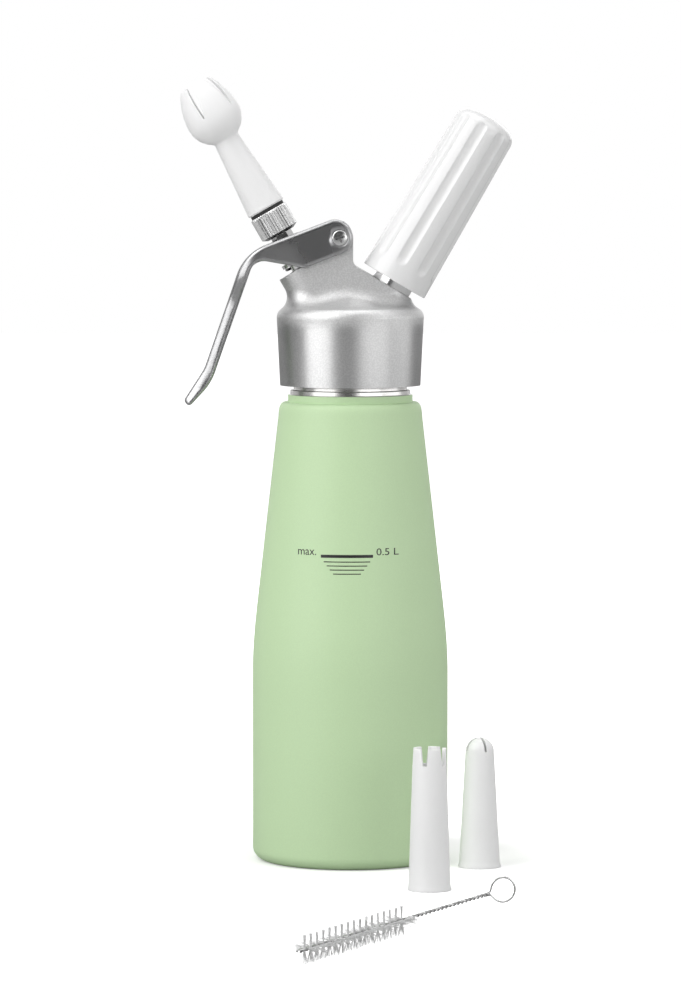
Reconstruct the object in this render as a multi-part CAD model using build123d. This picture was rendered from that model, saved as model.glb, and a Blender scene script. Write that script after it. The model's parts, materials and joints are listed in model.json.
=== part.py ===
"""Whipped cream dispenser, 0.5 litre, with its two spare tips and its cleaning brush.

Millimetres. The origin is the centre of the bottle's base and +Z is up. The lever, both tilted
axes and the charger holder lie in the XZ plane, the lever towards -X and the holder towards +X.
Valve, adapter and tip share one tilted axis; stud, charger and holder share the other. Both
leave the bottle's axis at AXES_Z, and a station is a distance from there along either of them.
"""

from build123d import *
import os
from math import atan2, cos, degrees, radians, sin, sqrt, tan

# ---- fits -------------------------------------------------------------------------------
RUN = 0.05              # radial play of a shaft in its bore
FACE = 0.05             # gap between flat faces that seat across a joint
LOOSE = 0.3             # gap between curved faces that only lie near each other
THREAD_PLAY = 0.25      # radial play between a thread's crest and the plain bore round it
SIDE_PLAY = 0.2         # play beside a cheek of the lever
SEAL_PLAY = 0.02        # how far a sealing ring stays off the wall that it seals
OVER = 1.0              # how far a cut runs out past what it cuts

# ---- bottle -----------------------------------------------------------------------------
BOTTLE_R = 38.5
FOOT_ROUND = 5.0
STRAIGHT_TOP = 74.0     # the side is upright up to here
TAPER_R = 36.6          # where the curve has become a straight taper
TAPER_Z = 102.0
SHOULDER_R = 28.4       # where the taper starts to round over
SHOULDER_Z = 174.5
LEDGE_R = 26.2          # outer edge of the flat ledge under the colour ring
LEDGE_Z = 180.8
LEDGE_FALL = 0.3        # fall of the shoulder where it meets the ledge, per millimetre across
RING_R = 24.5
RING_H = 3.0
BEAD_R = 23.6
BEAD_H = 1.7
NECK_R = 22.3
NECK_BORE_R = 20.3
NECK_H = 19.5
BOTTLE_WALL = 1.3
BOTTLE_FLOOR = 2.0
NECK_CREST = 0.95       # height of a thread's crest over its shaft
NECK_PITCH = 4.0
NECK_TURNS = 4
CREST_LAND = 0.35       # flat top of a crest, as a share of the pitch
FLANK = 0.3             # how far a flank runs along the axis for each millimetre of crest

# ---- head -------------------------------------------------------------------------------
SKIRT_GAP = 1.8         # bare neck between the bead and the skirt
SKIRT_FOOT_R = 27.6
SKIRT_TOP_R = 28.9
SKIRT_H = 30.6
SKIRT_ROUND = 4.0
DOME_RISE = 7.6
GASKET_H = 2.0
GASKET_LIP = 0.7        # how far the gasket reaches inwards past the mouth
CEILING_STEP = 0.4
CEILING_H = 4.0         # depth of the hollow over the gasket
AXES_Z = 199.5
VALVE_TILT = 30.0       # from upright, towards the lever
CHARGER_TILT = 30.7     # from upright, towards the holder
BOSS_R = 9.5
BOSS_BLEND = 6.0
BOSS_ROOT = 13.0        # station where both bosses start, inside the dome
VALVE_BOSS_END = 39.1
CHARGER_BOSS_END = 30.9
PIVOT_X = -4.1
PIVOT_Z = 245.3
TOWER_R = 5.2
TOWER_BLEND = 3.0
TOWER_LEAN = 145.0      # where the tower's round top meets its sloping left side

# ---- valve, by station ------------------------------------------------------------------
SEAT = 17.0
PLUG_H = 3.0
PLUG_R = 5.8
PLUG_POCKET_R = 6.5
PORT_ROOM_R = 4.9
PORT_ROOM_H = 5.0
PORT_R = 1.2
PORT_RISE = 2.5         # ports over the seat
BORE_RISE = 0.7         # foot of the stem's bore over the seat
STEM_R = 3.5
STEM_BORE_R = 1.9
STEM_SPIGOT_R = 2.4
STEM_NUT_R = 5.2
STEM_NUT_H = 1.5
SPIGOT_TAIL = 0.4       # how far the spigot shows under its nut
SEAL_R = 0.5            # radius of a sealing ring's section
SEAL_RISES = (7.6, 11.6)
WELL_FLOOR = 31.5
WELL_R = 7.1
FLANGE_FOOT = 41.7
FLANGE_R = 6.2
SPRING_R = 5.1          # to the middle of the wire
SPRING_WIRE_R = 0.55
SPRING_TURNS = 3.5
STEM_HEX_R = 4.4        # over the corners
STEM_ROOT_R = 3.5
STEM_CREST = 0.4
STEM_PITCH = 1.25
STEM_TURNS = 6

# ---- adapter and tip, by station --------------------------------------------------------
ADAPTER_FOOT = 54.4
ADAPTER_R = 7.8
ADAPTER_H = 10.1
ADAPTER_CHAMFER = 1.1
KNURLS = 44
KNURL_DEPTH = 0.32
ADAPTER_SEAL_H = 1.1
SPIGOT_R = 5.5
SPIGOT_CREST = 0.4
SPIGOT_BORE_R = 2.6
SPIGOT_H = 9.5
SPIGOT_PITCH = 2.0
SPIGOT_TURNS = 3
TIP_WASHER_R = 7.1
TIP_WASHER_H = 1.3
TIP_FOOT_R = 7.8
TIP_FOOT_BEVEL = 0.5
TIP_WALL = 1.3
TIP_SOCKET_H = 10.0
TIP_NECK_R = 5.1
BULB_R = 11.0
BULB_UNDER_R = 10.7     # radius of the curve under the bulb's widest place
BULB_RISE = 41.2
TIP_MOUTH_R = 6.6
TIP_H = 56.0
TULIP_SLOTS = 5
TULIP_SLOT_W = 3.7
TULIP_SLOT_H = 13.8
TULIP_TURN = -21.0      # the first slot's place round the axis, from the front

# ---- lever ------------------------------------------------------------------------------
CHEEK = 2.3
ROOF = 2.3
ARM_SLOPE = 21.0
ARM_HALF_H = 6.9
END_BACK = 1.9          # centre of the round end, behind the pivot
END_RISE = 0.2
ARM_L = 35.4            # from the round end's centre to the corner over the handle
ARM_ROUND = 19.0
BELLY_L = 15.5
BELLY_SLOPE = 10.0
BELLY_ROUND = 3.0
THROAT_ROUND = 6.0
CHANNEL_L = 24.0
CHANNEL_ROUND = 4.0
HANDLE_SLOPE = 70.8
HANDLE_L = 48.0
HANDLE_T = 4.35
CURL_SLOPE = 57.0
CURL_INNER_SLOPE = 47.0
CURL_L = 14.5
CURL_ROUND = 16.0
TIP_CORNER = 1.5
TIP_T = 3.1
TIP_SKEW = 1.6          # how far the tip's inner edge runs past its outer edge
HANDLE_W = 14.0
HANDLE_TIP_W = 17.0
HANDLE_NARROW_Z = 218.0
HANDLE_FLARE = 0.12     # how fast the handle widens at its tip, per millimetre along
LEVER_EDGE = 1.3        # rounding of the lever's outer edges
STROKE_DEG = 8.0
CAM_R = 2.5
CAM_RISE = 4.0          # cam's centre over the pivot, along the valve axis
CAM_PLAY = 0.4          # between the cams' ends and the stem
SLOT_PLAY = 0.5
PIVOT_R = 2.5
PIVOT_HEAD_R = 3.1
PIVOT_HEAD_H = 1.4
PIVOT_HEAD_SINK = 0.8
PIVOT_HEAD_ROUND = 0.45
PIVOT_THREAD_R = 1.5
PIVOT_THREAD_L = 9.0
RECESS_W = 0.7
RECESS_L = 3.6
RECESS_DEPTH = 0.8

# ---- charger side, by station -----------------------------------------------------------
FLAP_SEAT = 15.6
FLAP_ROOM_R = 4.2
FLAP_R = 3.3
FLAP_H = 0.8
FLAP_STALK_R = 0.9
FLAP_KNOB_R = 1.5
FLAP_LEDGE = 1.8
GAS_HOLES = 3
GAS_HOLE_R = 0.45
GAS_HOLES_R = 2.1
GAS_ROOM_R = 3.0
SHANK_FOOT = 21.7
SHANK_R = 5.0
STUD_NECK_R = 8.2
STUD_NECK_H = 3.7
STUD_ROOT_R = 9.4
STUD_CREST = 0.6
STUD_PITCH = 2.0
STUD_TURNS = 4
STUD_THREAD_L = 9.0
CUP_DEPTH = 7.4         # recess in the stud's end for gasket and charger neck
CUP_PLAY = 0.4
CHARGER_GASKET_H = 1.5
PIN_R = 1.25
PIN_BORE_R = 0.5
PIN_TAIL = 2.0          # how far the pin's foot is up the stud's bore
PIN_SLANT = 40.0
PIN_BITE = 2.5          # how far the pin stands into the charger
CHARGER_R = 9.2
CHARGER_NECK_R = 4.4
CHARGER_NECK_L = 7.0
CHARGER_L = 65.0
CHARGER_WALL = 1.2
HOLDER_FOOT = 33.6
HOLDER_L = 71.6         # up to where the rounding meets the crown
HOLDER_CROWN = 2.7
HOLDER_RIM_RISE = 1.2   # how far the crown has risen where the rounding ends
HOLDER_FOOT_R = 13.8
HOLDER_TOP_R = 12.5
HOLDER_ROUND = 3.2
HOLDER_MOUTH_L = 11.5
FLUTES = 9
FLUTE_R = 3.2
FLUTE_DEPTH = 0.95
FLUTE_FOOT = 9.4
FLUTE_TOP = 69.5
FLUTE_TURN = -6.6       # the first flute's place round the axis, from the front

# ---- spare tips and brush ---------------------------------------------------------------
SPARE_FOOT_R = 8.4
SPARE_FOOT_H = 2.6
SPARE_BODY_R = 7.9
SPARE_SOCKET_H = 12.0
STAR_H = 54.0
STAR_TOP_R = 6.3
STAR_NOTCHES = 5
STAR_NOTCH_H = 6.4
STAR_NOTCH_W = 2.9
STAR_NOTCH_FOOT_W = 1.7
STAR_TURN = -18.0
STAR_X, STAR_Y = 29.8, -86.0
ROUND_H = 50.9
ROUND_TOP_R = 5.6
ROUND_SLOTS = 4
ROUND_SLOT_W = 1.1
ROUND_SLOT_H = 5.4
ROUND_TURN = -65.0
ROUND_X, ROUND_Y = 50.5, -24.0
BRUSH_X, BRUSH_Y = -18.4, -267.3
BRUSH_TURN = 62.6       # the brush points this far round from +X
BRUSH_SHAFT_L = 151.4
BRUSH_WIRE_R = 0.95
BRUSH_RING_R = 4.75
BRUSH_RING_WIRE_R = 0.5
BRUSH_RING_TURN = -50.0
BRISTLE_R = 5.6
BRISTLE_START = 3.5
BRISTLE_L = 79.0
BRISTLE_ROWS = 17
BRISTLE_ROW_H = 1.5
BRISTLE_SLEEVE_R = 1.45

# ---- places worked out from the values above --------------------------------------------
RING_TOP = LEDGE_Z + RING_H
BEAD_TOP = RING_TOP + BEAD_H
MOUTH_Z = BEAD_TOP + NECK_H
NECK_CREST_R = NECK_R + NECK_CREST
SKIRT_BOTTOM = BEAD_TOP + SKIRT_GAP
SKIRT_TOP = SKIRT_BOTTOM + SKIRT_H
SKIRT_BORE_R = NECK_CREST_R + THREAD_PLAY
GASKET_SEAT = MOUTH_Z + GASKET_H
GASKET_BORE_R = NECK_BORE_R - GASKET_LIP
CEILING_Z = GASKET_SEAT + CEILING_H
CEILING_R = GASKET_BORE_R - CEILING_STEP

VALVE = Plane((0, 0, AXES_Z), x_dir=(cos(radians(VALVE_TILT)), 0, sin(radians(VALVE_TILT))),
              z_dir=(-sin(radians(VALVE_TILT)), 0, cos(radians(VALVE_TILT))))
CHARGER = Plane((0, 0, AXES_Z), x_dir=(cos(radians(CHARGER_TILT)), 0, -sin(radians(CHARGER_TILT))),
                z_dir=(sin(radians(CHARGER_TILT)), 0, cos(radians(CHARGER_TILT))))
PIVOT = VALVE.to_local_coords(Vector(PIVOT_X, 0, PIVOT_Z))
CAM_STATION = PIVOT.Z + CAM_RISE
GAP_HALF_W = BOSS_R + SIDE_PLAY
LEVER_HALF_W = GAP_HALF_W + CHEEK
FLANGE_TOP = CAM_STATION - CAM_R - FACE
PLUG_TOP = SEAT - FACE
NUT_TOP = PLUG_TOP - PLUG_H
STEM_CREST_R = STEM_ROOT_R + STEM_CREST
STEM_THREAD_FOOT = ADAPTER_FOOT - FACE
STEM_TOP = STEM_THREAD_FOOT + (STEM_TURNS + 0.5) * STEM_PITCH
ADAPTER_TOP = ADAPTER_FOOT + ADAPTER_H
SPIGOT_CREST_R = SPIGOT_R + SPIGOT_CREST
SPIGOT_TOP = ADAPTER_TOP + SPIGOT_H
TIP_FOOT = ADAPTER_TOP + TIP_WASHER_H + 2 * FACE
TIP_SOCKET_R = SPIGOT_CREST_R + THREAD_PLAY
STUD_NECK_TOP = CHARGER_BOSS_END + STUD_NECK_H
STUD_CREST_R = STUD_ROOT_R + STUD_CREST
STUD_TOP = STUD_NECK_TOP + STUD_THREAD_L
CUP_FLOOR = STUD_TOP - CUP_DEPTH
CHARGER_TIP = CUP_FLOOR + CHARGER_GASKET_H + FACE
CHARGER_TOP = CHARGER_TIP + CHARGER_L
PIN_TIP = CHARGER_TIP + PIN_BITE
BRUSH_Z = BRISTLE_R


def turned(*points):
    """A solid turned about Z from a closed outline of (radius, height) points."""
    return revolve(make_face(Plane.XZ * Polyline(*points, close=True)), Axis.Z)


def turned_curve(*pieces):
    """A solid turned about Z from a closed outline made of lines and curves."""
    return revolve(make_face(Plane.XZ * (Curve() + list(pieces))), Axis.Z)


def tube(bore, radius, low, high):
    """A plain ring from low to high."""
    return turned((bore, low), (radius, low), (radius, high), (bore, high))


def rod(radius, low, high):
    """A plain round bar along Z from low to high."""
    return Pos(0, 0, low) * Cylinder(radius, high - low, align=(Align.CENTER, Align.CENTER, Align.MIN))


def across(radius, low, high):
    """A round bar along Y, from y = low to y = high, through the lever's pivot."""
    return Pos(PIVOT_X, high, PIVOT_Z) * Rot(90, 0, 0) * rod(radius, 0, high - low)


def ring_crests(root, crest, low, pitch, turns):
    """The crests of a thread as separate rings on a shaft of radius root."""
    rise = FLANK * crest
    top = 2 * rise + CREST_LAND * pitch
    return [
        turned((root - crest, foot), (root, foot), (root + crest, foot + rise),
               (root + crest, foot + top - rise), (root, foot + top), (root - crest, foot + top))
        for foot in (low + turn * pitch for turn in range(turns))
    ]


def round_about(count, first):
    """Places turned evenly about Z, the first at an angle from the front, -Y."""
    return [Rot(0, 0, first - 90 + 360 / count * number) for number in range(count)]


def ahead(point, angle, distance):
    """The point at a distance from another one, in a direction given in degrees."""
    return (point[0] + distance * cos(radians(angle)), point[1] + distance * sin(radians(angle)))


def crossing(first, first_angle, second, second_angle):
    """Where two lines cross, each given by a point on it and its direction in degrees."""
    along = Vector(cos(radians(first_angle)), sin(radians(first_angle)))
    other = Vector(cos(radians(second_angle)), sin(radians(second_angle)))
    apart = Vector(*second) - Vector(*first)
    reach = (apart.X * other.Y - apart.Y * other.X) / (along.X * other.Y - along.Y * other.X)
    return (first[0] + reach * along.X, first[1] + reach * along.Y)


# ---- bottle -----------------------------------------------------------------------------
def bottle_form(inset, floor, plug):
    """The body filled solid, inset from its skin, with an outline of points as its neck."""
    side = BOTTLE_R - inset
    bend = FOOT_ROUND - inset
    lean = (TAPER_R - SHOULDER_R) / (TAPER_Z - SHOULDER_Z)
    foot = (side, STRAIGHT_TOP)
    start = (TAPER_R - inset, TAPER_Z)
    shoulder = (SHOULDER_R - inset, SHOULDER_Z)
    ledge = (LEDGE_R - inset, LEDGE_Z - inset)
    return turned_curve(
        Line((0, floor), (side - bend, floor)),
        RadiusArc((side - bend, floor), (side, floor + bend), -bend),
        Line((side, floor + bend), foot),
        Spline(foot, start, tangents=((0, 1), (lean, 1))),
        Line(start, shoulder),
        Spline(shoulder, ledge, tangents=((lean, 1), (-1, LEDGE_FALL))),
        Polyline(ledge, *plug, (0, plug[-1][1]), (0, floor)))


def bottle():
    """The body with rounded foot, ledge, colour ring, bead, threaded neck and open mouth."""
    skin = bottle_form(0, 0, [
        (RING_R, LEDGE_Z), (RING_R, RING_TOP), (BEAD_R, RING_TOP), (BEAD_R, BEAD_TOP),
        (NECK_R, BEAD_TOP), (NECK_R, MOUTH_Z)])
    inside = bottle_form(BOTTLE_WALL, BOTTLE_FLOOR, [
        (NECK_BORE_R, LEDGE_Z - BOTTLE_WALL), (NECK_BORE_R, MOUTH_Z)])
    crests = ring_crests(NECK_R, NECK_CREST, BEAD_TOP + NECK_PITCH / 2, NECK_PITCH, NECK_TURNS)
    return skin + crests - inside


def head_gasket():
    """The flat ring between the bottle's mouth and the head's ceiling."""
    return tube(GASKET_BORE_R, NECK_CREST_R, MOUTH_Z + FACE, GASKET_SEAT - FACE)


# ---- head -------------------------------------------------------------------------------
def skirt_and_dome():
    """The turned lower half of the casting, filled solid."""
    side = (SKIRT_TOP_R, SKIRT_TOP - SKIRT_ROUND)
    rim = (SKIRT_TOP_R - SKIRT_ROUND, SKIRT_TOP)
    top = (0, SKIRT_TOP + DOME_RISE)
    rounding = TangentArc(side, rim, tangent=(SKIRT_TOP_R - SKIRT_FOOT_R, side[1] - SKIRT_BOTTOM))
    leave = rounding % 1
    return turned_curve(
        Polyline(top, (0, SKIRT_BOTTOM), (SKIRT_FOOT_R, SKIRT_BOTTOM), side), rounding,
        Spline(rim, top, tangents=((leave.X, leave.Y), (-1, 0))))


def upper_casting():
    """Both bosses, and the flat web between them that rises to the pivot's tower."""
    valve_end = VALVE.from_local_coords(Vector(0, 0, VALVE_BOSS_END))
    corner = VALVE.from_local_coords(Vector(BOSS_R, 0, VALVE_BOSS_END))
    charger_end = CHARGER.from_local_coords(Vector(0, 0, CHARGER_BOSS_END))
    pivot = (PIVOT_X, PIVOT_Z)
    left = ahead(pivot, TOWER_LEAN, TOWER_R)
    right = ahead(pivot, 0, TOWER_R)
    foot = (right[0], charger_end.Z + (charger_end.X - right[0]) * tan(radians(CHARGER_TILT)))
    side = make_face(Plane.XZ * (Curve() + [
        Polyline((0, AXES_Z), (valve_end.X, valve_end.Z), (corner.X, corner.Z), left),
        ThreePointArc(left, ahead(pivot, TOWER_LEAN / 2, TOWER_R), right),
        Polyline(right, foot, (charger_end.X, charger_end.Z), (0, AXES_Z))]))
    web = extrude(side, BOSS_R, both=True)
    web = fillet(web.edges().filter_by(Axis.Y).sort_by_distance((foot[0], 0, foot[1]))[0], TOWER_BLEND)
    return (web + VALVE * rod(BOSS_R, BOSS_ROOT, VALVE_BOSS_END)
            + CHARGER * rod(BOSS_R, BOSS_ROOT, CHARGER_BOSS_END))


def head():
    """The whole casting, bored for the bottle, the valve, the charger's stud and the pivot."""
    body = skirt_and_dome() + upper_casting()
    seam = [edge for edge in body.edges().filter_by(GeomType.BSPLINE)
            if SKIRT_TOP - SKIRT_ROUND < edge.center().Z and edge.bounding_box().size.Y > BOSS_BLEND]
    body = fillet(seam, BOSS_BLEND)
    neck = rod(SKIRT_BORE_R, SKIRT_BOTTOM - OVER, GASKET_SEAT) + rod(CEILING_R, MOUTH_Z, CEILING_Z)
    valve_way = VALVE * (rod(PLUG_POCKET_R, 0, SEAT) + rod(PORT_ROOM_R, 0, SEAT + PORT_ROOM_H)
                         + rod(STEM_R + RUN, 0, VALVE_BOSS_END + OVER)
                         + rod(WELL_R, WELL_FLOOR, VALVE_BOSS_END + OVER))
    gas_holes = [place * Pos(GAS_HOLES_R, 0, 0) * rod(GAS_HOLE_R, 0, SHANK_FOOT)
                 for place in round_about(GAS_HOLES, 0)]
    gas_way = CHARGER * (rod(FLAP_ROOM_R, 0, FLAP_SEAT) + gas_holes
                         + rod(FLAP_STALK_R, 0, SHANK_FOOT)
                         + rod(GAS_ROOM_R, FLAP_SEAT + FLAP_LEDGE, SHANK_FOOT)
                         + rod(SHANK_R, SHANK_FOOT, CHARGER_BOSS_END + OVER))
    return body - neck - valve_way - gas_way - across(PIVOT_R, -LEVER_HALF_W, LEVER_HALF_W)


# ---- lever and its pivot ----------------------------------------------------------------
def lever_side():
    """The lever's outline in XZ: arm with round end, belly, throat, handle and curled tip."""
    end = (PIVOT_X - END_BACK, PIVOT_Z + END_RISE)
    over, under = ARM_SLOPE + 90, ARM_SLOPE - 90
    back, down, curl = ARM_SLOPE + 180, HANDLE_SLOPE + 180, CURL_SLOPE + 180
    nose = ahead(end, ARM_SLOPE, ARM_HALF_H)
    corner = ahead(ahead(end, over, ARM_HALF_H), back, ARM_L)
    bend = ahead(corner, down, HANDLE_L)
    tip = ahead(bend, curl, CURL_L)
    belly = ahead(ahead(end, under, ARM_HALF_H), back, BELLY_L)
    inner_line = ahead(corner, HANDLE_SLOPE - 90, HANDLE_T)
    tip_inner = ahead(ahead(tip, CURL_SLOPE - 90, TIP_T), curl, TIP_SKEW)
    throat = crossing(belly, 180 - BELLY_SLOPE, inner_line, down)
    bend_inner = crossing(inner_line, down, tip_inner, CURL_INNER_SLOPE)
    end_round = ARM_HALF_H - RUN
    return FilletPolyline(
        tip, bend, corner, ahead(nose, over, ARM_HALF_H), ahead(nose, under, ARM_HALF_H), belly,
        throat, bend_inner, tip_inner,
        radius=[TIP_CORNER, CURL_ROUND, ARM_ROUND, end_round, end_round, BELLY_ROUND,
                THROAT_ROUND, CURL_ROUND + HANDLE_T, TIP_CORNER], close=True)


def lever_trim():
    """What is cut from both sides of the blank, so that the handle is narrower than the arm."""
    side = lever_side().bounding_box()
    low, left = side.min.Y, side.min.X
    arm_z = PIVOT_Z + END_RISE - ARM_L * sin(radians(ARM_SLOPE))
    wide, narrow, tip = LEVER_HALF_W, HANDLE_W / 2, HANDLE_TIP_W / 2
    middle_z = (HANDLE_NARROW_Z + low) / 2
    beyond = wide + OVER
    edge = make_face(Curve() + [
        Spline((wide, arm_z), (narrow, HANDLE_NARROW_Z), tangents=((0, -1), (0, -1))),
        Line((narrow, HANDLE_NARROW_Z), (narrow, middle_z)),
        Spline((narrow, middle_z), (tip, low), tangents=((0, -1), (HANDLE_FLARE, -1))),
        Polyline((tip, low), (tip, low - OVER), (beyond, low - OVER), (beyond, arm_z), (wide, arm_z))])
    block = extrude(Plane.YZ.offset(left - OVER) * edge, PIVOT_X - left)
    return block + mirror(block, Plane.XZ)


def stem_slot():
    """The slot in the lever's roof, long enough for the stem over the whole stroke."""
    radius = STEM_HEX_R + SLOT_PLAY
    swing = (ADAPTER_FOOT - PIVOT.Z) * sin(radians(STROKE_DEG))
    ends = rod(radius, FLANGE_TOP, ADAPTER_FOOT)
    middle = Pos(swing / 2, 0, (FLANGE_TOP + ADAPTER_FOOT) / 2) * Box(
        swing, 2 * radius, ADAPTER_FOOT - FLANGE_TOP)
    return VALVE * (ends + Pos(swing, 0, 0) * ends + middle)


def cams():
    """The pair of round noses on the cheeks that push the stem's flange down."""
    nose = Pos(0, -STEM_HEX_R - CAM_PLAY, CAM_STATION) * Rot(90, 0, 0) * rod(
        CAM_R, 0, GAP_HALF_W + CHEEK / 2 - STEM_HEX_R - CAM_PLAY)
    return VALVE * (nose + mirror(nose, Plane.XZ))


def lever():
    """A channel that straddles the tower, with cams on its cheeks and a slot for the stem."""
    blank = extrude(make_face(Plane.XZ * lever_side()), LEVER_HALF_W, both=True) - lever_trim()
    rim = [edge for edge in blank.edges()
           if abs(edge.center().Y) > HANDLE_W / 4 and edge.bounding_box().size.Z > FACE]
    blank = fillet(rim, LEVER_EDGE)
    end = (PIVOT_X - END_BACK, PIVOT_Z + END_RISE)
    ceiling = ahead(end, ARM_SLOPE + 90, ARM_HALF_H - ROOF)
    open_end = ahead(ceiling, ARM_SLOPE, 2 * ARM_HALF_H)
    closed_end = ahead(ceiling, ARM_SLOPE + 180, CHANNEL_L)
    channel = FilletPolyline(
        open_end, closed_end, ahead(closed_end, ARM_SLOPE - 90, ARM_L),
        ahead(open_end, ARM_SLOPE - 90, ARM_L), radius=CHANNEL_ROUND, close=True)
    hollow = extrude(make_face(Plane.XZ * channel), GAP_HALF_W, both=True)
    tower_room = across(TOWER_R + SIDE_PLAY, -GAP_HALF_W, GAP_HALF_W)
    holes = across(PIVOT_R + RUN, -LEVER_HALF_W, LEVER_HALF_W)
    sink_floor = LEVER_HALF_W - PIVOT_HEAD_SINK
    sink = across(PIVOT_HEAD_R + RUN, sink_floor, LEVER_HALF_W)
    return (blank - hollow - tower_room - stem_slot() - holes - sink - mirror(sink, Plane.XZ)
            + cams())


def cross_recess():
    """Two crossed slots in the outer face of a screw's head, whose face lies at height 0."""
    slot = Box(RECESS_L, RECESS_W, 2 * RECESS_DEPTH)
    return slot + Rot(0, 0, 90) * slot


def pivot_sleeve():
    """The sleeve through the tower that the lever turns on, with a head at the back."""
    seat = LEVER_HALF_W - PIVOT_HEAD_SINK + FACE
    face = seat + PIVOT_HEAD_H
    body = across(PIVOT_R, -seat, seat) + across(PIVOT_HEAD_R, seat, face)
    body -= across(PIVOT_THREAD_R, -seat, PIVOT_THREAD_L - seat)
    return body - Pos(PIVOT_X, face, PIVOT_Z) * Rot(90, 45, 0) * cross_recess()


def pivot_screw():
    """The screw with a crossed recess that closes the sleeve at the front."""
    seat = LEVER_HALF_W - PIVOT_HEAD_SINK + FACE
    face = seat + PIVOT_HEAD_H
    body = across(PIVOT_HEAD_R, -face, -seat)
    body += across(PIVOT_THREAD_R, -seat, PIVOT_THREAD_L - seat - OVER)
    rim = body.edges().filter_by(GeomType.CIRCLE).sort_by(Axis.Y)[0]
    body = fillet(rim, PIVOT_HEAD_ROUND)
    return body - Pos(PIVOT_X, -face, PIVOT_Z) * Rot(90, 45, 0) * cross_recess()


# ---- valve ------------------------------------------------------------------------------
def seal_radius():
    """Radius to the middle of a stem seal's section."""
    return STEM_R + RUN - SEAL_PLAY - SEAL_R


def valve_stem():
    """The hollow stem: spigot, ports, two grooves, flange, hexagon and threaded end."""
    body = rod(STEM_SPIGOT_R, NUT_TOP - STEM_NUT_H - SPIGOT_TAIL, PLUG_TOP)
    body += rod(STEM_R, PLUG_TOP, FLANGE_FOOT) + rod(FLANGE_R, FLANGE_FOOT, FLANGE_TOP)
    body += extrude(Pos(0, 0, FLANGE_TOP) * RegularPolygon(STEM_HEX_R, 6),
                    STEM_THREAD_FOOT - FLANGE_TOP)
    body += rod(STEM_ROOT_R, STEM_THREAD_FOOT, STEM_TOP)
    body += ring_crests(STEM_ROOT_R, STEM_CREST, STEM_THREAD_FOOT + STEM_PITCH / 2,
                        STEM_PITCH, STEM_TURNS)
    for rise in SEAL_RISES:
        body -= tube(seal_radius() - SEAL_R, STEM_R + OVER,
                     SEAT + rise - SEAL_R, SEAT + rise + SEAL_R)
    body -= rod(STEM_BORE_R, SEAT + BORE_RISE, STEM_TOP)
    port = Pos(0, 0, SEAT + PORT_RISE) * Rot(90, 0, 0) * Cylinder(PORT_R, 4 * STEM_R)
    return VALVE * (body - port - Rot(0, 0, 90) * port)


def stem_seal(rise):
    """A sealing ring in the stem's groove at a given rise over the seat."""
    return VALVE * Pos(0, 0, SEAT + rise) * Torus(seal_radius(), SEAL_R)


def stem_seal_lower():
    """The sealing ring next to the ports."""
    return stem_seal(SEAL_RISES[0])


def stem_seal_upper():
    """The sealing ring next to the spring."""
    return stem_seal(SEAL_RISES[1])


def valve_plug():
    """The rubber disc that closes the seat from inside."""
    return VALVE * tube(STEM_SPIGOT_R, PLUG_R, NUT_TOP, PLUG_TOP)


def valve_nut():
    """The hexagonal nut that holds the plug on the stem."""
    prism = extrude(Pos(0, 0, NUT_TOP - STEM_NUT_H) * RegularPolygon(STEM_NUT_R, 6), STEM_NUT_H)
    return VALVE * (prism - rod(STEM_SPIGOT_R, NUT_TOP - STEM_NUT_H, NUT_TOP))


def valve_spring():
    """The spring round the stem, between the well's floor and the flange."""
    low, high = WELL_FLOOR + FACE + SPRING_WIRE_R, FLANGE_FOOT - FACE - SPRING_WIRE_R
    coil = Helix(pitch=(high - low) / SPRING_TURNS, height=high - low, radius=SPRING_R)
    wire = Plane(coil @ 0, z_dir=coil % 0) * Circle(SPRING_WIRE_R)
    return VALVE * Pos(0, 0, low) * sweep(wire, coil, is_frenet=True)


# ---- adapter and tip --------------------------------------------------------------------
def adapter_seal():
    """The flat ring between the stem's end and the adapter."""
    low = STEM_TOP + FACE
    return VALVE * tube(SPIGOT_BORE_R, STEM_CREST_R, low, low + ADAPTER_SEAL_H)


def knurl_outline():
    """The adapter's saw-edged section."""
    points = []
    for number in range(2 * KNURLS):
        angle = 180 / KNURLS * number
        points.append(ahead((0, 0), angle, ADAPTER_R - KNURL_DEPTH * (number % 2)))
    return make_face(Polyline(*points, close=True))


def adapter():
    """The knurled nut that screws on the stem and carries the tip on its threaded spigot."""
    grip = extrude(Pos(0, 0, ADAPTER_FOOT) * knurl_outline(), ADAPTER_H)
    bevel = ADAPTER_CHAMFER
    grip &= turned((0, ADAPTER_FOOT), (ADAPTER_R - 2 * bevel, ADAPTER_FOOT),
                   (ADAPTER_R, ADAPTER_FOOT + bevel), (ADAPTER_R, ADAPTER_TOP), (0, ADAPTER_TOP))
    seat = STEM_TOP + 2 * FACE + ADAPTER_SEAL_H
    body = grip + rod(SPIGOT_R, ADAPTER_TOP, SPIGOT_TOP)
    body += ring_crests(SPIGOT_R, SPIGOT_CREST, SPIGOT_TOP - SPIGOT_TURNS * SPIGOT_PITCH,
                        SPIGOT_PITCH, SPIGOT_TURNS)
    body -= rod(STEM_CREST_R + THREAD_PLAY, ADAPTER_FOOT, seat)
    return VALVE * (body - rod(SPIGOT_BORE_R, seat, SPIGOT_TOP))


def tip_washer():
    """The black ring between adapter and tip."""
    low = ADAPTER_TOP + FACE
    return VALVE * tube(SPIGOT_CREST_R + RUN, TIP_WASHER_R, low, low + TIP_WASHER_H)


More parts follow.
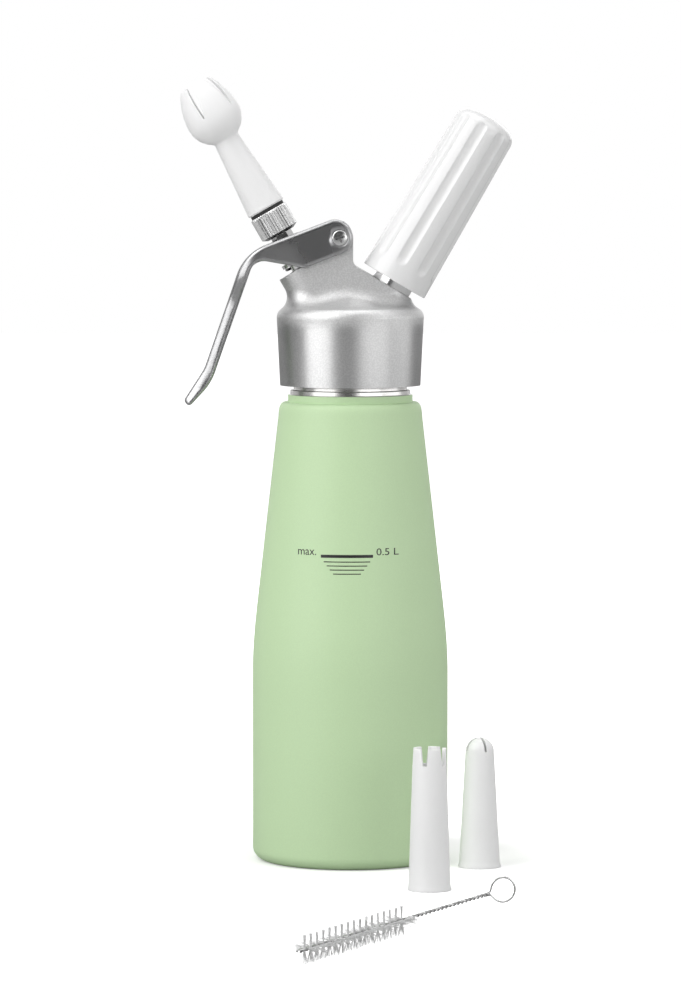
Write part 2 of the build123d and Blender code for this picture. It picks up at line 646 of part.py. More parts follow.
def tulip_form(inset, foot, top):
    """The tulip tip filled solid, inset from its skin, between two heights over its foot."""
    waist = sqrt(BULB_UNDER_R**2 - (TIP_NECK_R + BULB_UNDER_R - BULB_R)**2)
    neck = (TIP_NECK_R - inset, BULB_RISE - waist)
    wide = (BULB_R - inset, BULB_RISE)
    mouth = (TIP_MOUTH_R - inset, top)
    under = ahead((BULB_R - BULB_UNDER_R, BULB_RISE), -45, BULB_UNDER_R - inset)
    half = (BULB_RISE + top) / 2
    drop = (BULB_R - TIP_MOUTH_R) / 4
    return turned_curve(
        Polyline((0, top), (0, foot), (TIP_FOOT_R - inset, foot), neck),
        ThreePointArc(neck, under, wide),
        ThreePointArc(wide, (BULB_R - inset - drop, half), mouth),
        Line(mouth, (0, top)))


def tulip_tip():
    """The tulip tip: tapered neck on a threaded socket, and a slotted bulb with an open mouth."""
    body = tulip_form(0, 0, TIP_H)
    rim = body.edges().filter_by(GeomType.CIRCLE).sort_by(Axis.Z)[0]
    body = chamfer(rim, TIP_FOOT_BEVEL)
    body -= tulip_form(TIP_WALL, TIP_SOCKET_H, TIP_H)
    body -= rod(TIP_SOCKET_R, 0, TIP_SOCKET_H)
    wedge = make_face(Polyline((-TULIP_SLOT_W / 2, TIP_H), (TULIP_SLOT_W / 2, TIP_H),
                               (0, TIP_H - TULIP_SLOT_H), close=True))
    cut = extrude(Plane.YZ * wedge, BULB_R + OVER)
    for place in round_about(TULIP_SLOTS, TULIP_TURN):
        body -= place * cut
    return VALVE * Pos(0, 0, TIP_FOOT) * body


# ---- charger side -----------------------------------------------------------------------
def inlet_stud():
    """The threaded stud in the head, cupped for the charger's neck and bored for the pin."""
    body = rod(SHANK_R, SHANK_FOOT, CHARGER_BOSS_END)
    body += rod(STUD_NECK_R, CHARGER_BOSS_END, STUD_NECK_TOP)
    body += rod(STUD_ROOT_R, STUD_NECK_TOP, STUD_TOP)
    body += ring_crests(STUD_ROOT_R, STUD_CREST, STUD_NECK_TOP + STUD_PITCH / 2,
                        STUD_PITCH, STUD_TURNS)
    cup = rod(CHARGER_NECK_R + CUP_PLAY, CUP_FLOOR, STUD_TOP)
    return CHARGER * (body - cup - rod(PIN_R, SHANK_FOOT, STUD_TOP))


def charger_gasket():
    """The ring in the stud's cup that the charger's neck presses on."""
    return CHARGER * tube(PIN_R, CHARGER_NECK_R + CUP_PLAY,
                          CUP_FLOOR, CUP_FLOOR + CHARGER_GASKET_H)


def piercing_pin():
    """The hollow pin with a slanted point that opens the charger."""
    body = rod(PIN_R, SHANK_FOOT + PIN_TAIL, PIN_TIP)
    slant = Pos(PIN_R, 0, PIN_TIP) * Rot(0, PIN_SLANT, 0) * Box(8 * PIN_R, 4 * PIN_R, 2 * PIN_R)
    return CHARGER * (body - slant - rod(PIN_BORE_R, SHANK_FOOT, PIN_TIP))


def check_flap():
    """The rubber valve under the gas holes: a disc on a stalk with a knob over the ledge."""
    ledge = FLAP_SEAT + FLAP_LEDGE
    body = rod(FLAP_R, FLAP_SEAT - FLAP_H, FLAP_SEAT) + rod(FLAP_STALK_R, FLAP_SEAT, ledge)
    return CHARGER * (body + rod(FLAP_KNOB_R, ledge, ledge + FLAP_KNOB_R))


def charger_form(inset):
    """The charger's bulb inset from its skin, filled solid: neck, round shoulder, round end."""
    radius, neck = CHARGER_R - inset, CHARGER_NECK_R - inset
    shoulder_z = CHARGER_TIP + CHARGER_NECK_L + sqrt(CHARGER_R**2 - CHARGER_NECK_R**2)
    end_z = CHARGER_TOP - CHARGER_R
    return (rod(neck, CHARGER_TIP + inset, shoulder_z) + rod(radius, shoulder_z, end_z)
            + Pos(0, 0, shoulder_z) * Sphere(radius) + Pos(0, 0, end_z) * Sphere(radius))


def gas_charger():
    """The steel charger, pierced through its cap."""
    hole = rod(PIN_R + RUN, CHARGER_TIP, CHARGER_TIP + 2 * CHARGER_WALL)
    return CHARGER * (charger_form(0) - charger_form(CHARGER_WALL) - hole)


def charger_holder():
    """The fluted sleeve that screws on the stud and presses the charger on to the pin."""
    top = HOLDER_FOOT + HOLDER_L
    side = (HOLDER_TOP_R, top - HOLDER_ROUND)
    rim = (HOLDER_TOP_R - HOLDER_ROUND, top + HOLDER_RIM_RISE)
    apex = (0, top + HOLDER_CROWN)
    lean = (HOLDER_TOP_R - HOLDER_FOOT_R, side[1] - HOLDER_FOOT)
    body = turned_curve(
        Polyline(apex, (0, HOLDER_FOOT), (HOLDER_FOOT_R, HOLDER_FOOT), side),
        Spline(side, rim, apex, tangents=(lean, (-1, 0))))
    slope = degrees(atan2(-lean[0], lean[1]))
    cutter = rod(FLUTE_R, FLUTE_FOOT, FLUTE_TOP)
    cutter += Pos(0, 0, FLUTE_FOOT) * Sphere(FLUTE_R) + Pos(0, 0, FLUTE_TOP) * Sphere(FLUTE_R)
    cutter = Pos(HOLDER_FOOT_R + FLUTE_R - FLUTE_DEPTH, 0, HOLDER_FOOT) * Rot(0, -slope, 0) * cutter
    for place in round_about(FLUTES, FLUTE_TURN):
        body -= place * cutter
    bore_r, round_end = CHARGER_R + LOOSE, CHARGER_TOP - CHARGER_R
    body -= rod(bore_r, HOLDER_FOOT, round_end) + Pos(0, 0, round_end) * Sphere(bore_r)
    body -= rod(STUD_CREST_R + THREAD_PLAY, HOLDER_FOOT, HOLDER_FOOT + HOLDER_MOUTH_L)
    return CHARGER * body


# ---- spare tips and brush ---------------------------------------------------------------
def spare_form(height, top_r):
    """A spare tip's tapered body with a flared foot, as a shell with its socket."""
    skin = turned((0, 0), (SPARE_FOOT_R, 0), (SPARE_BODY_R, SPARE_FOOT_H), (top_r, height),
                  (0, height))
    return skin - turned((0, 0), (TIP_SOCKET_R, 0), (TIP_SOCKET_R, SPARE_SOCKET_H),
                         (top_r - TIP_WALL, height), (0, height))


def star_tip():
    """The castellated spare tip, open at the top."""
    body = spare_form(STAR_H, STAR_TOP_R)
    wide, narrow, foot = STAR_NOTCH_W / 2, STAR_NOTCH_FOOT_W / 2, STAR_H - STAR_NOTCH_H
    notch = make_face(Polyline((-wide, STAR_H + OVER), (wide, STAR_H + OVER), (narrow, foot),
                               (-narrow, foot), close=True))
    for place in round_about(STAR_NOTCHES, STAR_TURN):
        body -= place * extrude(Plane.YZ * notch, SPARE_FOOT_R)
    return Pos(STAR_X, STAR_Y, 0) * body


def round_tip():
    """The spare tip with a round end, cut by crossed slots."""
    dome_z = ROUND_H - ROUND_TOP_R
    dome = Sphere(ROUND_TOP_R) - Sphere(ROUND_TOP_R - TIP_WALL)
    dome -= Pos(0, 0, -ROUND_TOP_R / 2) * Box(2 * ROUND_TOP_R, 2 * ROUND_TOP_R, ROUND_TOP_R)
    body = spare_form(dome_z, ROUND_TOP_R) + Pos(0, 0, dome_z) * dome
    slot = Pos(0, 0, ROUND_H) * Box(2 * SPARE_FOOT_R, ROUND_SLOT_W, 2 * ROUND_SLOT_H)
    for place in round_about(ROUND_SLOTS, ROUND_TURN)[:ROUND_SLOTS // 2]:
        body -= place * slot
    return Pos(ROUND_X, ROUND_Y, 0) * body


def brush_place():
    """The brush's own frame: its axis along X from the bristles' end, lying on the ground."""
    return Pos(BRUSH_X, BRUSH_Y, BRUSH_Z) * Rot(0, 0, BRUSH_TURN)


def brush_wire():
    """The twisted wire, as one round bar, and its ring."""
    shaft = Rot(0, 90, 0) * rod(BRUSH_WIRE_R, 0, BRUSH_SHAFT_L)
    ring = Pos(BRUSH_RING_R, 0, 0) * Rot(90, 0, 0) * Torus(BRUSH_RING_R, BRUSH_RING_WIRE_R)
    return brush_place() * (shaft + Pos(BRUSH_SHAFT_L, 0, 0) * Rot(0, 0, BRUSH_RING_TURN) * ring)


def brush_bristles():
    """The bristles, as a row of discs on a thin sleeve round the wire."""
    pitch = BRISTLE_L / BRISTLE_ROWS
    first = BRISTLE_START + (pitch - BRISTLE_ROW_H) / 2
    body = tube(BRUSH_WIRE_R, BRISTLE_SLEEVE_R, BRISTLE_START, BRISTLE_START + BRISTLE_L)
    for row in range(BRISTLE_ROWS):
        low = first + row * pitch
        body += tube(BRUSH_WIRE_R, BRISTLE_R, low, low + BRISTLE_ROW_H)
    return brush_place() * Rot(0, 90, 0) * body


PIECES = (
    bottle, head_gasket, head, pivot_sleeve, pivot_screw, lever, valve_stem, stem_seal_lower,
    stem_seal_upper, valve_plug, valve_nut, valve_spring, adapter_seal, adapter, tip_washer,
    tulip_tip, inlet_stud, charger_gasket, piercing_pin, check_flap, gas_charger, charger_holder,
    star_tip, round_tip, brush_wire, brush_bristles,
)

if __name__ == "__main__":
    os.makedirs("parts", exist_ok=True)
    for piece in PIECES:
        export_step(piece(), f"parts/{piece.__name__}.step")
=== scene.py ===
"""Looks of the whipped cream dispenser, its spare tips and its cleaning brush, in metres.

Each sub-assembly is a class that builds its own meshes and dresses its own parts. Its fields are in
millimetres and degrees, unless they are multiplied by MM or turned into radians. Stations are
distances along the two tilted axes, from where both leave the bottle's axis.
"""

import json
import logging
from collections.abc import Callable, Iterable, Sequence
from dataclasses import dataclass, field
from enum import Enum
from itertools import product
from math import acos, asin, cos, degrees, hypot, pi, radians, sin, sqrt, tau

import bmesh
import bpy
from mathutils import Matrix, Vector

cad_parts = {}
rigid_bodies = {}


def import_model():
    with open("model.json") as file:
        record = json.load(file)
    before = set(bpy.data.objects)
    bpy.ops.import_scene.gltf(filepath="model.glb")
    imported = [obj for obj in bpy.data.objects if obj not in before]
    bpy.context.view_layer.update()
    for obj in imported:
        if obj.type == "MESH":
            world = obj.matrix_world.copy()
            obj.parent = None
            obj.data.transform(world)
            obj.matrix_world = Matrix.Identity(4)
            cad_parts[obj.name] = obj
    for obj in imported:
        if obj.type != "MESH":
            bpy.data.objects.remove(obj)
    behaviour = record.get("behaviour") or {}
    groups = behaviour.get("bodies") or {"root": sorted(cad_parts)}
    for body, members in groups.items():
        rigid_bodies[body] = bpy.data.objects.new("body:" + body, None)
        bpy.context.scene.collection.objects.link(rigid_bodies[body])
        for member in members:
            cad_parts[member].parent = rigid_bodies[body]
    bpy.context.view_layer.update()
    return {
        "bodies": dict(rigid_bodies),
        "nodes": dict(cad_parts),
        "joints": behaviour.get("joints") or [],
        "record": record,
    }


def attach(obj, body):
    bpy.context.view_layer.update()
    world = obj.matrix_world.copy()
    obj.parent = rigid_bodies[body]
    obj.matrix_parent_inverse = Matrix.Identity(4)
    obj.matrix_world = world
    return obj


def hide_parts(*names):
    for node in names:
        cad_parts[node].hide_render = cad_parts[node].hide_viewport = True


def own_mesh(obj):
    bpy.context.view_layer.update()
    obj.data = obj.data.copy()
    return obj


log = logging.getLogger("dispenser")

Mesh, Material, Object = bpy.types.Mesh, bpy.types.Material, bpy.types.Object
Point = tuple[float, float, float]
Spot = tuple[float, float]
Outline = list[Spot]
Colour = tuple[float, float, float, float]

MM = 0.001
# Distances under which points are joined, in metres, and under which they lie on an axis.
WELD, FINE_WELD, CAD_WELD, ON_AXIS = 1e-7, 1e-8, 1e-6, 1e-6
# Corners that bend by less than this stay as they are; edges over SHARP degrees show as sharp.
LEAST_BEND, SHARP = radians(15), 32.0
# Height where the tilted axes cross the bottle's, and their turns about Y.
AXES_Z, VALVE_TILT, CHARGER_TILT = 199.5 * MM, radians(-30.0), radians(30.7)
# Foot and top of the bottle's cone, as radius and height in millimetres.
CONE = ((36.6, 102.0), (28.4, 174.5))


class Axis(Enum):
    """The two tilted axes, as the turn about Y that leans +Z on to them."""

    VALVE = VALVE_TILT
    CHARGER = CHARGER_TILT

    def place(self, station: float) -> Matrix:
        """Returns the matrix that puts local Z along this axis, with its origin at a station."""
        lean = Matrix.Translation((0, 0, AXES_Z)) @ Matrix.Rotation(self.value, 4, "Y")
        return lean @ Matrix.Translation((0, 0, station))


# ---- scene and node trees ----------------------------------------------------------------
def in_scene(name: str, data: bpy.types.ID) -> Object:
    """Returns a new object for some data, linked into the scene."""
    thing = bpy.data.objects.new(name, data)
    bpy.context.scene.collection.objects.link(thing)
    return thing


def plain_mesh(carrier: Object) -> Mesh:
    """Returns an object's final mesh and removes the object."""
    graph = bpy.context.evaluated_depsgraph_get()
    mesh = bpy.data.meshes.new_from_object(carrier.evaluated_get(graph), depsgraph=graph)
    bpy.data.objects.remove(carrier)
    return mesh


def arithmetic(operation: str, swapped: bool = False) -> Callable[["Value", object], "Value"]:
    """Returns a method that adds the math node of an operator.

    Args:
        operation: The math operation's identifier.
        swapped: Whether the value is the operation's second input.

    Returns:
        The method.
    """
    def join(self: "Value", other: object) -> "Value":
        """Returns the result for this value and another one."""
        return self.graph.math(operation, *((other, self) if swapped else (self, other)))
    return join


@dataclass(frozen=True)
class Value:
    """A number in a node tree; plain arithmetic with it adds math nodes."""

    graph: "NodeGraph"
    socket: bpy.types.NodeSocket

    __add__ = __radd__ = arithmetic("ADD")
    __mul__ = __rmul__ = arithmetic("MULTIPLY")
    __sub__, __rsub__ = arithmetic("SUBTRACT"), arithmetic("SUBTRACT", True)
    __truediv__, __rtruediv__ = arithmetic("DIVIDE"), arithmetic("DIVIDE", True)
    __gt__, __lt__ = arithmetic("GREATER_THAN"), arithmetic("LESS_THAN")

    def __neg__(self) -> "Value":
        """Returns the value with its sign changed."""
        return self * -1.0


class NodeGraph:
    """Adds and joins nodes in one tree."""

    def __init__(self, tree: bpy.types.NodeTree) -> None:
        """Takes over a tree."""
        self.tree = tree

    def add(self, kind: str, inputs: dict[str | int, object] | None = None,
            **settings: object) -> bpy.types.Node:
        """Adds a node, sets its properties and fills its inputs.

        Args:
            kind: The node's type identifier.
            inputs: Input names or numbers, and sockets or values for them.
            settings: Node properties to set.

        Returns:
            The new node.
        """
        node = self.tree.nodes.new(kind)
        for name, value in settings.items():
            setattr(node, name, value)
        for name, value in (inputs or {}).items():
            self.put(value, node.inputs[name])
        return node

    def put(self, value: object, socket: bpy.types.NodeSocket) -> None:
        """Links a socket, or sets a plain value."""
        if isinstance(value, Value):
            value = value.socket
        if isinstance(value, bpy.types.NodeSocket):
            self.tree.links.new(value, socket)
        else:
            socket.default_value = value

    def value(self, kind: str, output: str | int = 0,
              inputs: dict[str | int, object] | None = None, **settings: object) -> Value:
        """Adds a node as add does and returns one of its outputs."""
        return Value(self, self.add(kind, inputs, **settings).outputs[output])

    def math(self, operation: str, *values: object, clamp: bool = False) -> Value:
        """Returns the output of a math node, which may be held between 0 and 1."""
        return self.value("ShaderNodeMath", 0, dict(enumerate(values)), operation=operation,
                          use_clamp=clamp)

    def greatest(self, first: object, *others: object) -> object:
        """Returns the greatest of several values."""
        for other in others:
            first = self.math("MAXIMUM", first, other)
        return first

    def spread(self, *values: object) -> Value:
        """Returns a value moved smoothly from a low and a high limit to two new ones."""
        return self.value("ShaderNodeMapRange", 0, dict(enumerate(values)),
                          interpolation_type="SMOOTHSTEP")

    def vector(self, *values: object) -> Value:
        """Joins three values to a vector."""
        return self.value("ShaderNodeCombineXYZ", 0, dict(enumerate(values)))

    def parts(self, vector: object) -> list[Value]:
        """Returns a vector's three values."""
        return [Value(self, socket)
                for socket in self.add("ShaderNodeSeparateXYZ", {0: vector}).outputs]


class ShaderGraph(NodeGraph):
    """The nodes of a material, a world or a shader group."""

    def place(self) -> Value:
        """Returns the object's own coordinates."""
        return self.value("ShaderNodeTexCoord", "Object")

    def noise(self, size: Value, detail: float) -> Value:
        """Returns a noise with features of about a size in metres."""
        return self.value("ShaderNodeTexNoise", "Fac", {
            "Vector": self.place(), "Scale": 1.0 / size, "Detail": detail})

    def likeness(self, first: object, second: object) -> Value:
        """Returns the dot product of two directions."""
        return self.value("ShaderNodeVectorMath", "Value", {0: first, 1: second},
                          operation="DOT_PRODUCT")

    def mix(self, share: object, first: object, second: object) -> Value:
        """Returns two colours mixed by a share."""
        return self.value("ShaderNodeMix", 2, {"Factor": share, 6: first, 7: second},
                          data_type="RGBA")

    def blend(self, share: object, first: object, second: object) -> Value:
        """Returns two numbers mixed by a share."""
        return self.value("ShaderNodeMix", 0, {"Factor": share, 2: first, 3: second},
                          data_type="FLOAT")

    def for_camera(self, seen: object, others: object) -> Value:
        """Returns a shader that is one thing to the camera's own rays and another to all others."""
        return self.value("ShaderNodeMixShader", 0, {
            0: self.value("ShaderNodeLightPath", "Is Camera Ray"), 1: others, 2: seen})


def cleared(owner: Material | bpy.types.World) -> ShaderGraph:
    """Returns the emptied node tree of a new material or world."""
    owner.use_nodes = True
    owner.node_tree.nodes.clear()
    return ShaderGraph(owner.node_tree)


class GroupLibrary:
    """The shader groups that more than one finish uses, each built once.

    Attributes:
        grain_range: Noise from which a grain is dull to where it is bright.
        dust_range: Noise from which a patch is clean to where it is dulled.
        open_range: Openness from which a place is a recess to where it is free.
    """

    grain_range: Spot = (0.42, 0.62)
    dust_range: Spot = (0.4, 0.7)
    open_range: Spot = (0.35, 0.9)

    def __init__(self) -> None:
        """Builds every group."""
        self.edge_wear = self._edge_wear()
        self.blasted_grain = self._blasted_grain()
        self.handling_dust = self._handling_dust()
        self.crevice_shade = self._crevice_shade()

    @staticmethod
    def _group(name: str, inputs: dict[str, float], *outputs: str
               ) -> tuple[ShaderGraph, list[Value], list[bpy.types.NodeSocket]]:
        """Starts a group.

        Args:
            name: Its name.
            inputs: The names and values of its inputs.
            outputs: The names of its outputs.

        Returns:
            Its graph, its inputs' values and the sockets that its results go to.
        """
        tree = bpy.data.node_groups.new(name, "ShaderNodeTree")
        for label, value in inputs.items():
            socket = tree.interface.new_socket(label, in_out="INPUT",
                                               socket_type="NodeSocketFloat")
            socket.default_value = value
        for label in outputs:
            tree.interface.new_socket(label, in_out="OUTPUT", socket_type="NodeSocketFloat")
        graph = ShaderGraph(tree)
        entry, leave = graph.add("NodeGroupInput"), graph.add("NodeGroupOutput")
        return (graph, [Value(graph, entry.outputs[label]) for label in inputs],
                [leave.inputs[label] for label in outputs])

    def _edge_wear(self) -> bpy.types.ShaderNodeTree:
        """A mask that is 1 along outer and inner edges and 0 on flat faces."""
        graph, (width, strength), (mask,) = self._group(
            "edge_wear", {"Width": 0.0008, "Strength": 3.0}, "Mask")
        rounded = graph.value("ShaderNodeBevel", "Normal", {"Radius": width}, samples=6)
        plain = graph.value("ShaderNodeNewGeometry", "Normal")
        turned = graph.math("SUBTRACT", 1.0, graph.likeness(rounded, plain), clamp=True)
        graph.put(graph.math("MULTIPLY", turned, strength, clamp=True), mask)
        return graph.tree

    def _blasted_grain(self) -> bpy.types.ShaderNodeTree:
        """Fine pits of a blasted or moulded skin, as a height and a mask of brighter grains."""
        graph, (grain, depth), (height, grains) = self._group(
            "blasted_grain", {"Grain": 0.0004, "Depth": 1.0}, "Height", "Grains")
        fine = graph.noise(grain, 1.0)
        graph.put(fine * depth, height)
        graph.put(graph.spread(fine, *self.grain_range, 0.0, 1.0), grains)
        return graph.tree

    def _handling_dust(self) -> bpy.types.ShaderNodeTree:
        """Broad, faint patches where hands and cloths have dulled a surface."""
        graph, (patch,), (mask,) = self._group("handling_dust", {"Patch": 0.02}, "Mask")
        graph.put(graph.spread(graph.noise(patch, 4.0), *self.dust_range, 0.0, 1.0), mask)
        return graph.tree

    def _crevice_shade(self) -> bpy.types.ShaderNodeTree:
        """A mask of painted shade that is 1 in narrow recesses."""
        graph, (reach,), (mask,) = self._group("crevice_shade", {"Reach": 0.001}, "Mask")
        hollow = graph.value("ShaderNodeAmbientOcclusion", "AO", {"Distance": reach}, samples=6,
                             only_local=True)
        graph.put(graph.spread(hollow, *self.open_range, 1.0, 0.0), mask)
        return graph.tree


# ---- finishes ----------------------------------------------------------------------------
def grey(value: float) -> Colour:
    """Returns a linear grey."""
    return (value, value, value, 1.0)


def srgb(red: float, green: float, blue: float) -> Colour:
    """Returns a linear colour for one given as it shows, from 0 to 255."""
    def linear(value: float) -> float:
        """Returns one channel made linear."""
        share = value / 255
        return share / 12.92 if share <= 0.04045 else ((share + 0.055) / 1.055) ** 2.4
    return (linear(red), linear(green), linear(blue), 1.0)


# PAINTED_SHADE is the near-black that narrow recesses are painted towards, as painted shade.
PAINTED_SHADE, WHITE = grey(0.02), grey(1.0)
FLOOR_SEEN, FLOOR_BOUNCED = grey(0.9), grey(0.5)


@dataclass(frozen=True)
class Finish:
    """A surface finish that becomes one material.

    Attributes:
        name: The material's name.
        slot: The record's material slot that it belongs to.
        colour: Base colour, linear.
        roughness: Base roughness.
        roughness_spread: How far handling changes the roughness.
        metallic: 1 for bare metal.
        grain: Width of the skin's grain in metres.
        grain_depth: Depth of the grain for the bump, in metres.
        grain_tone: How much the grain changes the colour.
        wear: How much the edges differ from the faces.
        wear_colour: Colour along worn edges.
        wear_width: Width of the worn edges in metres.
        coat: Weight of a clear coat.
        coat_roughness: Roughness of the clear coat.
        sheen_through: Subsurface weight of translucent stuff.
        through_depth: How deep light goes into it, in metres.
        crevice: How far narrow recesses are painted dark, as painted shade.
        soft_edge: Radius that edges seem rounded by, in metres.
    """

    name: str
    slot: str
    colour: Colour
    roughness: float
    roughness_spread: float = 0.05
    metallic: float = 0.0
    grain: float = 0.0004
    grain_depth: float = 0.00001
    grain_tone: float = 0.03
    wear: float = 0.0
    wear_colour: Colour = grey(0.8)
    wear_width: float = 0.0006
    coat: float = 0.0
    coat_roughness: float = 0.1
    sheen_through: float = 0.0
    through_depth: float = 0.001
    crevice: float = 0.0
    soft_edge: float = 0.0

    def toned(self, share: float) -> Colour:
        """Returns the colour made darker or lighter by a share."""
        return tuple(min(1.0, channel * share) for channel in self.colour[:3]) + (1.0,)

    def make(self, groups: GroupLibrary) -> Material:
        """Builds the material.

        Args:
            groups: The shared shader groups.

        Returns:
            The material.
        """
        material = bpy.data.materials.new(self.name)
        graph = cleared(material)
        grain = graph.add("ShaderNodeGroup", {"Grain": self.grain},
                          node_tree=groups.blasted_grain)
        dust = graph.value("ShaderNodeGroup", "Mask", node_tree=groups.handling_dust)
        colour = graph.mix(grain.outputs["Grains"], self.toned(1 - self.grain_tone),
                           self.toned(1 + self.grain_tone))
        if self.wear:
            worn = graph.value("ShaderNodeGroup", "Mask", {"Width": self.wear_width},
                               node_tree=groups.edge_wear)
            colour = graph.mix(worn * self.wear, colour, self.wear_colour)
        # Painted shade: narrow recesses that ambient occlusion finds are darkened towards
        # near-black.
        if self.crevice:
            deep = graph.value("ShaderNodeGroup", "Mask", node_tree=groups.crevice_shade)
            colour = graph.mix(deep * self.crevice, colour, PAINTED_SHADE)
        bump = graph.add("ShaderNodeBump", {"Distance": self.grain_depth, "Strength": 1.0,
                                            "Height": grain.outputs["Height"]})
        if self.soft_edge:
            graph.put(graph.value("ShaderNodeBevel", "Normal", {"Radius": self.soft_edge},
                                  samples=8), bump.inputs["Normal"])
        shader = graph.add("ShaderNodeBsdfPrincipled", {
            "Base Color": colour, "Metallic": self.metallic, "Coat Weight": self.coat,
            "Coat Roughness": self.coat_roughness, "Normal": bump.outputs["Normal"],
            "Roughness": graph.spread(dust, 0, 1, self.roughness,
                                      self.roughness + self.roughness_spread)})
        if self.sheen_through:
            shader.inputs["Subsurface Weight"].default_value = self.sheen_through
            shader.inputs["Subsurface Radius"].default_value = (1.0, 1.0, 1.0)
            shader.inputs["Subsurface Scale"].default_value = self.through_depth
        self.finish_shader(graph, shader)
        graph.add("ShaderNodeOutputMaterial", {"Surface": shader.outputs[0]})
        return material

    def finish_shader(self, graph: ShaderGraph, shader: bpy.types.Node) -> None:
        """Lets a finish change the shader further; nothing here."""

    @staticmethod
    def fed(socket: bpy.types.NodeSocket) -> bpy.types.NodeSocket:
        """Returns the output that feeds a socket."""
        return socket.links[0].from_socket


@dataclass(frozen=True)
class Lacquer(Finish):
    """Satin lacquer on the bottle, with the steel left bare over a height.

    Attributes:
        edge_z: Height where the lacquer stops.
        steel: Colour of the bare steel.
        steel_roughness: Roughness of the bare steel.
        inward: Faces that turn to the axis by more than this are the bottle's inside.
        upward: Faces that look up by more than this, below inside_z, are its inner floor.
        inside_z: Height below which such faces are inside.
    """

    edge_z: float = 183.7 * MM
    steel: Colour = (0.66, 0.65, 0.64, 1.0)
    steel_roughness: float = 0.26
    inward: float = 0.02
    upward: float = 0.9
    inside_z: float = 50.0 * MM

    def finish_shader(self, graph: ShaderGraph, shader: bpy.types.Node) -> None:
        """Swaps lacquer for bare steel over the edge and inside the bottle."""
        x, y, z = graph.parts(graph.place())
        to_x, to_y, to_z = graph.parts(graph.value("ShaderNodeNewGeometry", "Normal"))
        outward = (x * to_x + y * to_y) / graph.math("SQRT", x * x + y * y)
        floor = (to_z > self.upward) * (z < self.inside_z)
        bare = graph.greatest(z > self.edge_z, outward < -self.inward, floor)
        colour, roughness = shader.inputs["Base Color"], shader.inputs["Roughness"]
        graph.put(graph.mix(bare, self.fed(colour), self.steel), colour)
        graph.put(graph.blend(bare, self.fed(roughness), self.steel_roughness), roughness)
        graph.put(bare, shader.inputs["Metallic"])


@dataclass(frozen=True)
class Casting(Finish):
    """Blasted metal, turned smooth up to a height and left as cast over it.

    Attributes:
        turned_to: Height up to which it is turned.
        cast_from: Height from which it is as cast.
        cast_roughness: Roughness as cast.
        turned_grain: Share of the grain's depth that the turned part keeps.
    """

    turned_to: float = 209.0 * MM
    cast_from: float = 214.5 * MM
    cast_roughness: float = 0.50
    turned_grain: float = 0.16

    def finish_shader(self, graph: ShaderGraph, shader: bpy.types.Node) -> None:
        """Makes the part over the turned skirt rougher and coarser."""
        z = graph.parts(graph.place())[2]
        cast = graph.spread(z, self.turned_to, self.cast_from, 0.0, 1.0)
        roughness = shader.inputs["Roughness"]
        graph.put(graph.blend(cast, self.fed(roughness), self.cast_roughness), roughness)
        height = self.fed(shader.inputs["Normal"]).node.inputs["Height"]
        depth = cast * (1.0 - self.turned_grain) + self.turned_grain
        graph.put(depth * self.fed(height), height)


LACQUER = Lacquer("bottle_lacquer", "green_lacquer", srgb(199, 226, 181), 0.48, 0.06,
                  grain=0.0005, grain_depth=0.000004, grain_tone=0.012)
CASTING = Casting("blasted_casting", "satin_casting", grey(0.66), 0.29, 0.015,
                  metallic=1.0, grain=0.00055, grain_depth=0.00012, grain_tone=0.06,
                  wear=0.3, wear_colour=grey(0.8), wear_width=0.0004)
LEVER_METAL = Finish("lever_casting", "lever_metal", (0.42, 0.42, 0.425, 1.0), 0.26, 0.06,
                     metallic=1.0, grain=0.0004, grain_depth=0.00001, grain_tone=0.06,
                     wear=0.5, wear_colour=grey(0.6), wear_width=0.0005,
                     soft_edge=0.0010)
BRIGHT_METAL = Finish("bright_plating", "bright_metal", grey(0.80), 0.12, 0.06,
                      metallic=1.0, grain=0.0006, grain_depth=0.000002, grain_tone=0.02)
# The knurl, the screw and the brush's strands get their recesses darkened by crevice, as painted
# shade.
KNURL_METAL = Finish("knurl_plating", "bright_metal", grey(0.80), 0.24, 0.05,
                     metallic=1.0, grain=0.0006, grain_depth=0.000001, grain_tone=0.02,
                     crevice=0.3)
SCREW_METAL = Finish("screw_plating", "bright_metal", grey(0.72), 0.20, 0.06,
                     metallic=1.0, grain=0.0005, grain_depth=0.000003, grain_tone=0.03,
                     crevice=0.4)
BRUSH_STEEL = Finish("brush_steel", "plain_steel", grey(0.55), 0.20, 0.05,
                     metallic=1.0, grain=0.0003, grain_depth=0.000003, grain_tone=0.04,
                     crevice=1.0)
PLAIN_STEEL = Finish("drawn_steel", "plain_steel", grey(0.50), 0.25, 0.08,
                     metallic=1.0, grain=0.0003, grain_depth=0.000004, grain_tone=0.05)
BLACK_RUBBER = Finish("seal_rubber", "black_rubber", grey(0.02), 0.55, 0.1,
                      grain=0.0003, grain_depth=0.00001, grain_tone=0.2)
MILKY_SILICONE = Finish("milky_silicone", "clear_silicone", (0.72, 0.72, 0.70, 1.0), 0.4, 0.1,
                        grain=0.0005, grain_depth=0.000006, sheen_through=0.4)
GLOSS_WHITE = Finish("gloss_moulding", "white_gloss", grey(0.84), 0.22, 0.05,
                     grain=0.0008, grain_depth=0.000003, grain_tone=0.005, coat=0.3,
                     coat_roughness=0.1, sheen_through=0.1)
SATIN_WHITE = Finish("satin_moulding", "white_satin", grey(0.92), 0.42, 0.08,
                     grain=0.0003, grain_depth=0.000003, grain_tone=0.006, sheen_through=0.35,
                     through_depth=0.002)
CLEAR_NYLON = Finish("bristle_nylon", "bristle_nylon", grey(0.80), 0.3, 0.1,
                     grain=0.0002, grain_depth=0.000002, grain_tone=0.1)
MARK_INK = Finish("mark_ink", "green_lacquer", grey(0.012), 0.4, 0.05,
                  grain=0.0003, grain_depth=0.000001, grain_tone=0.1)


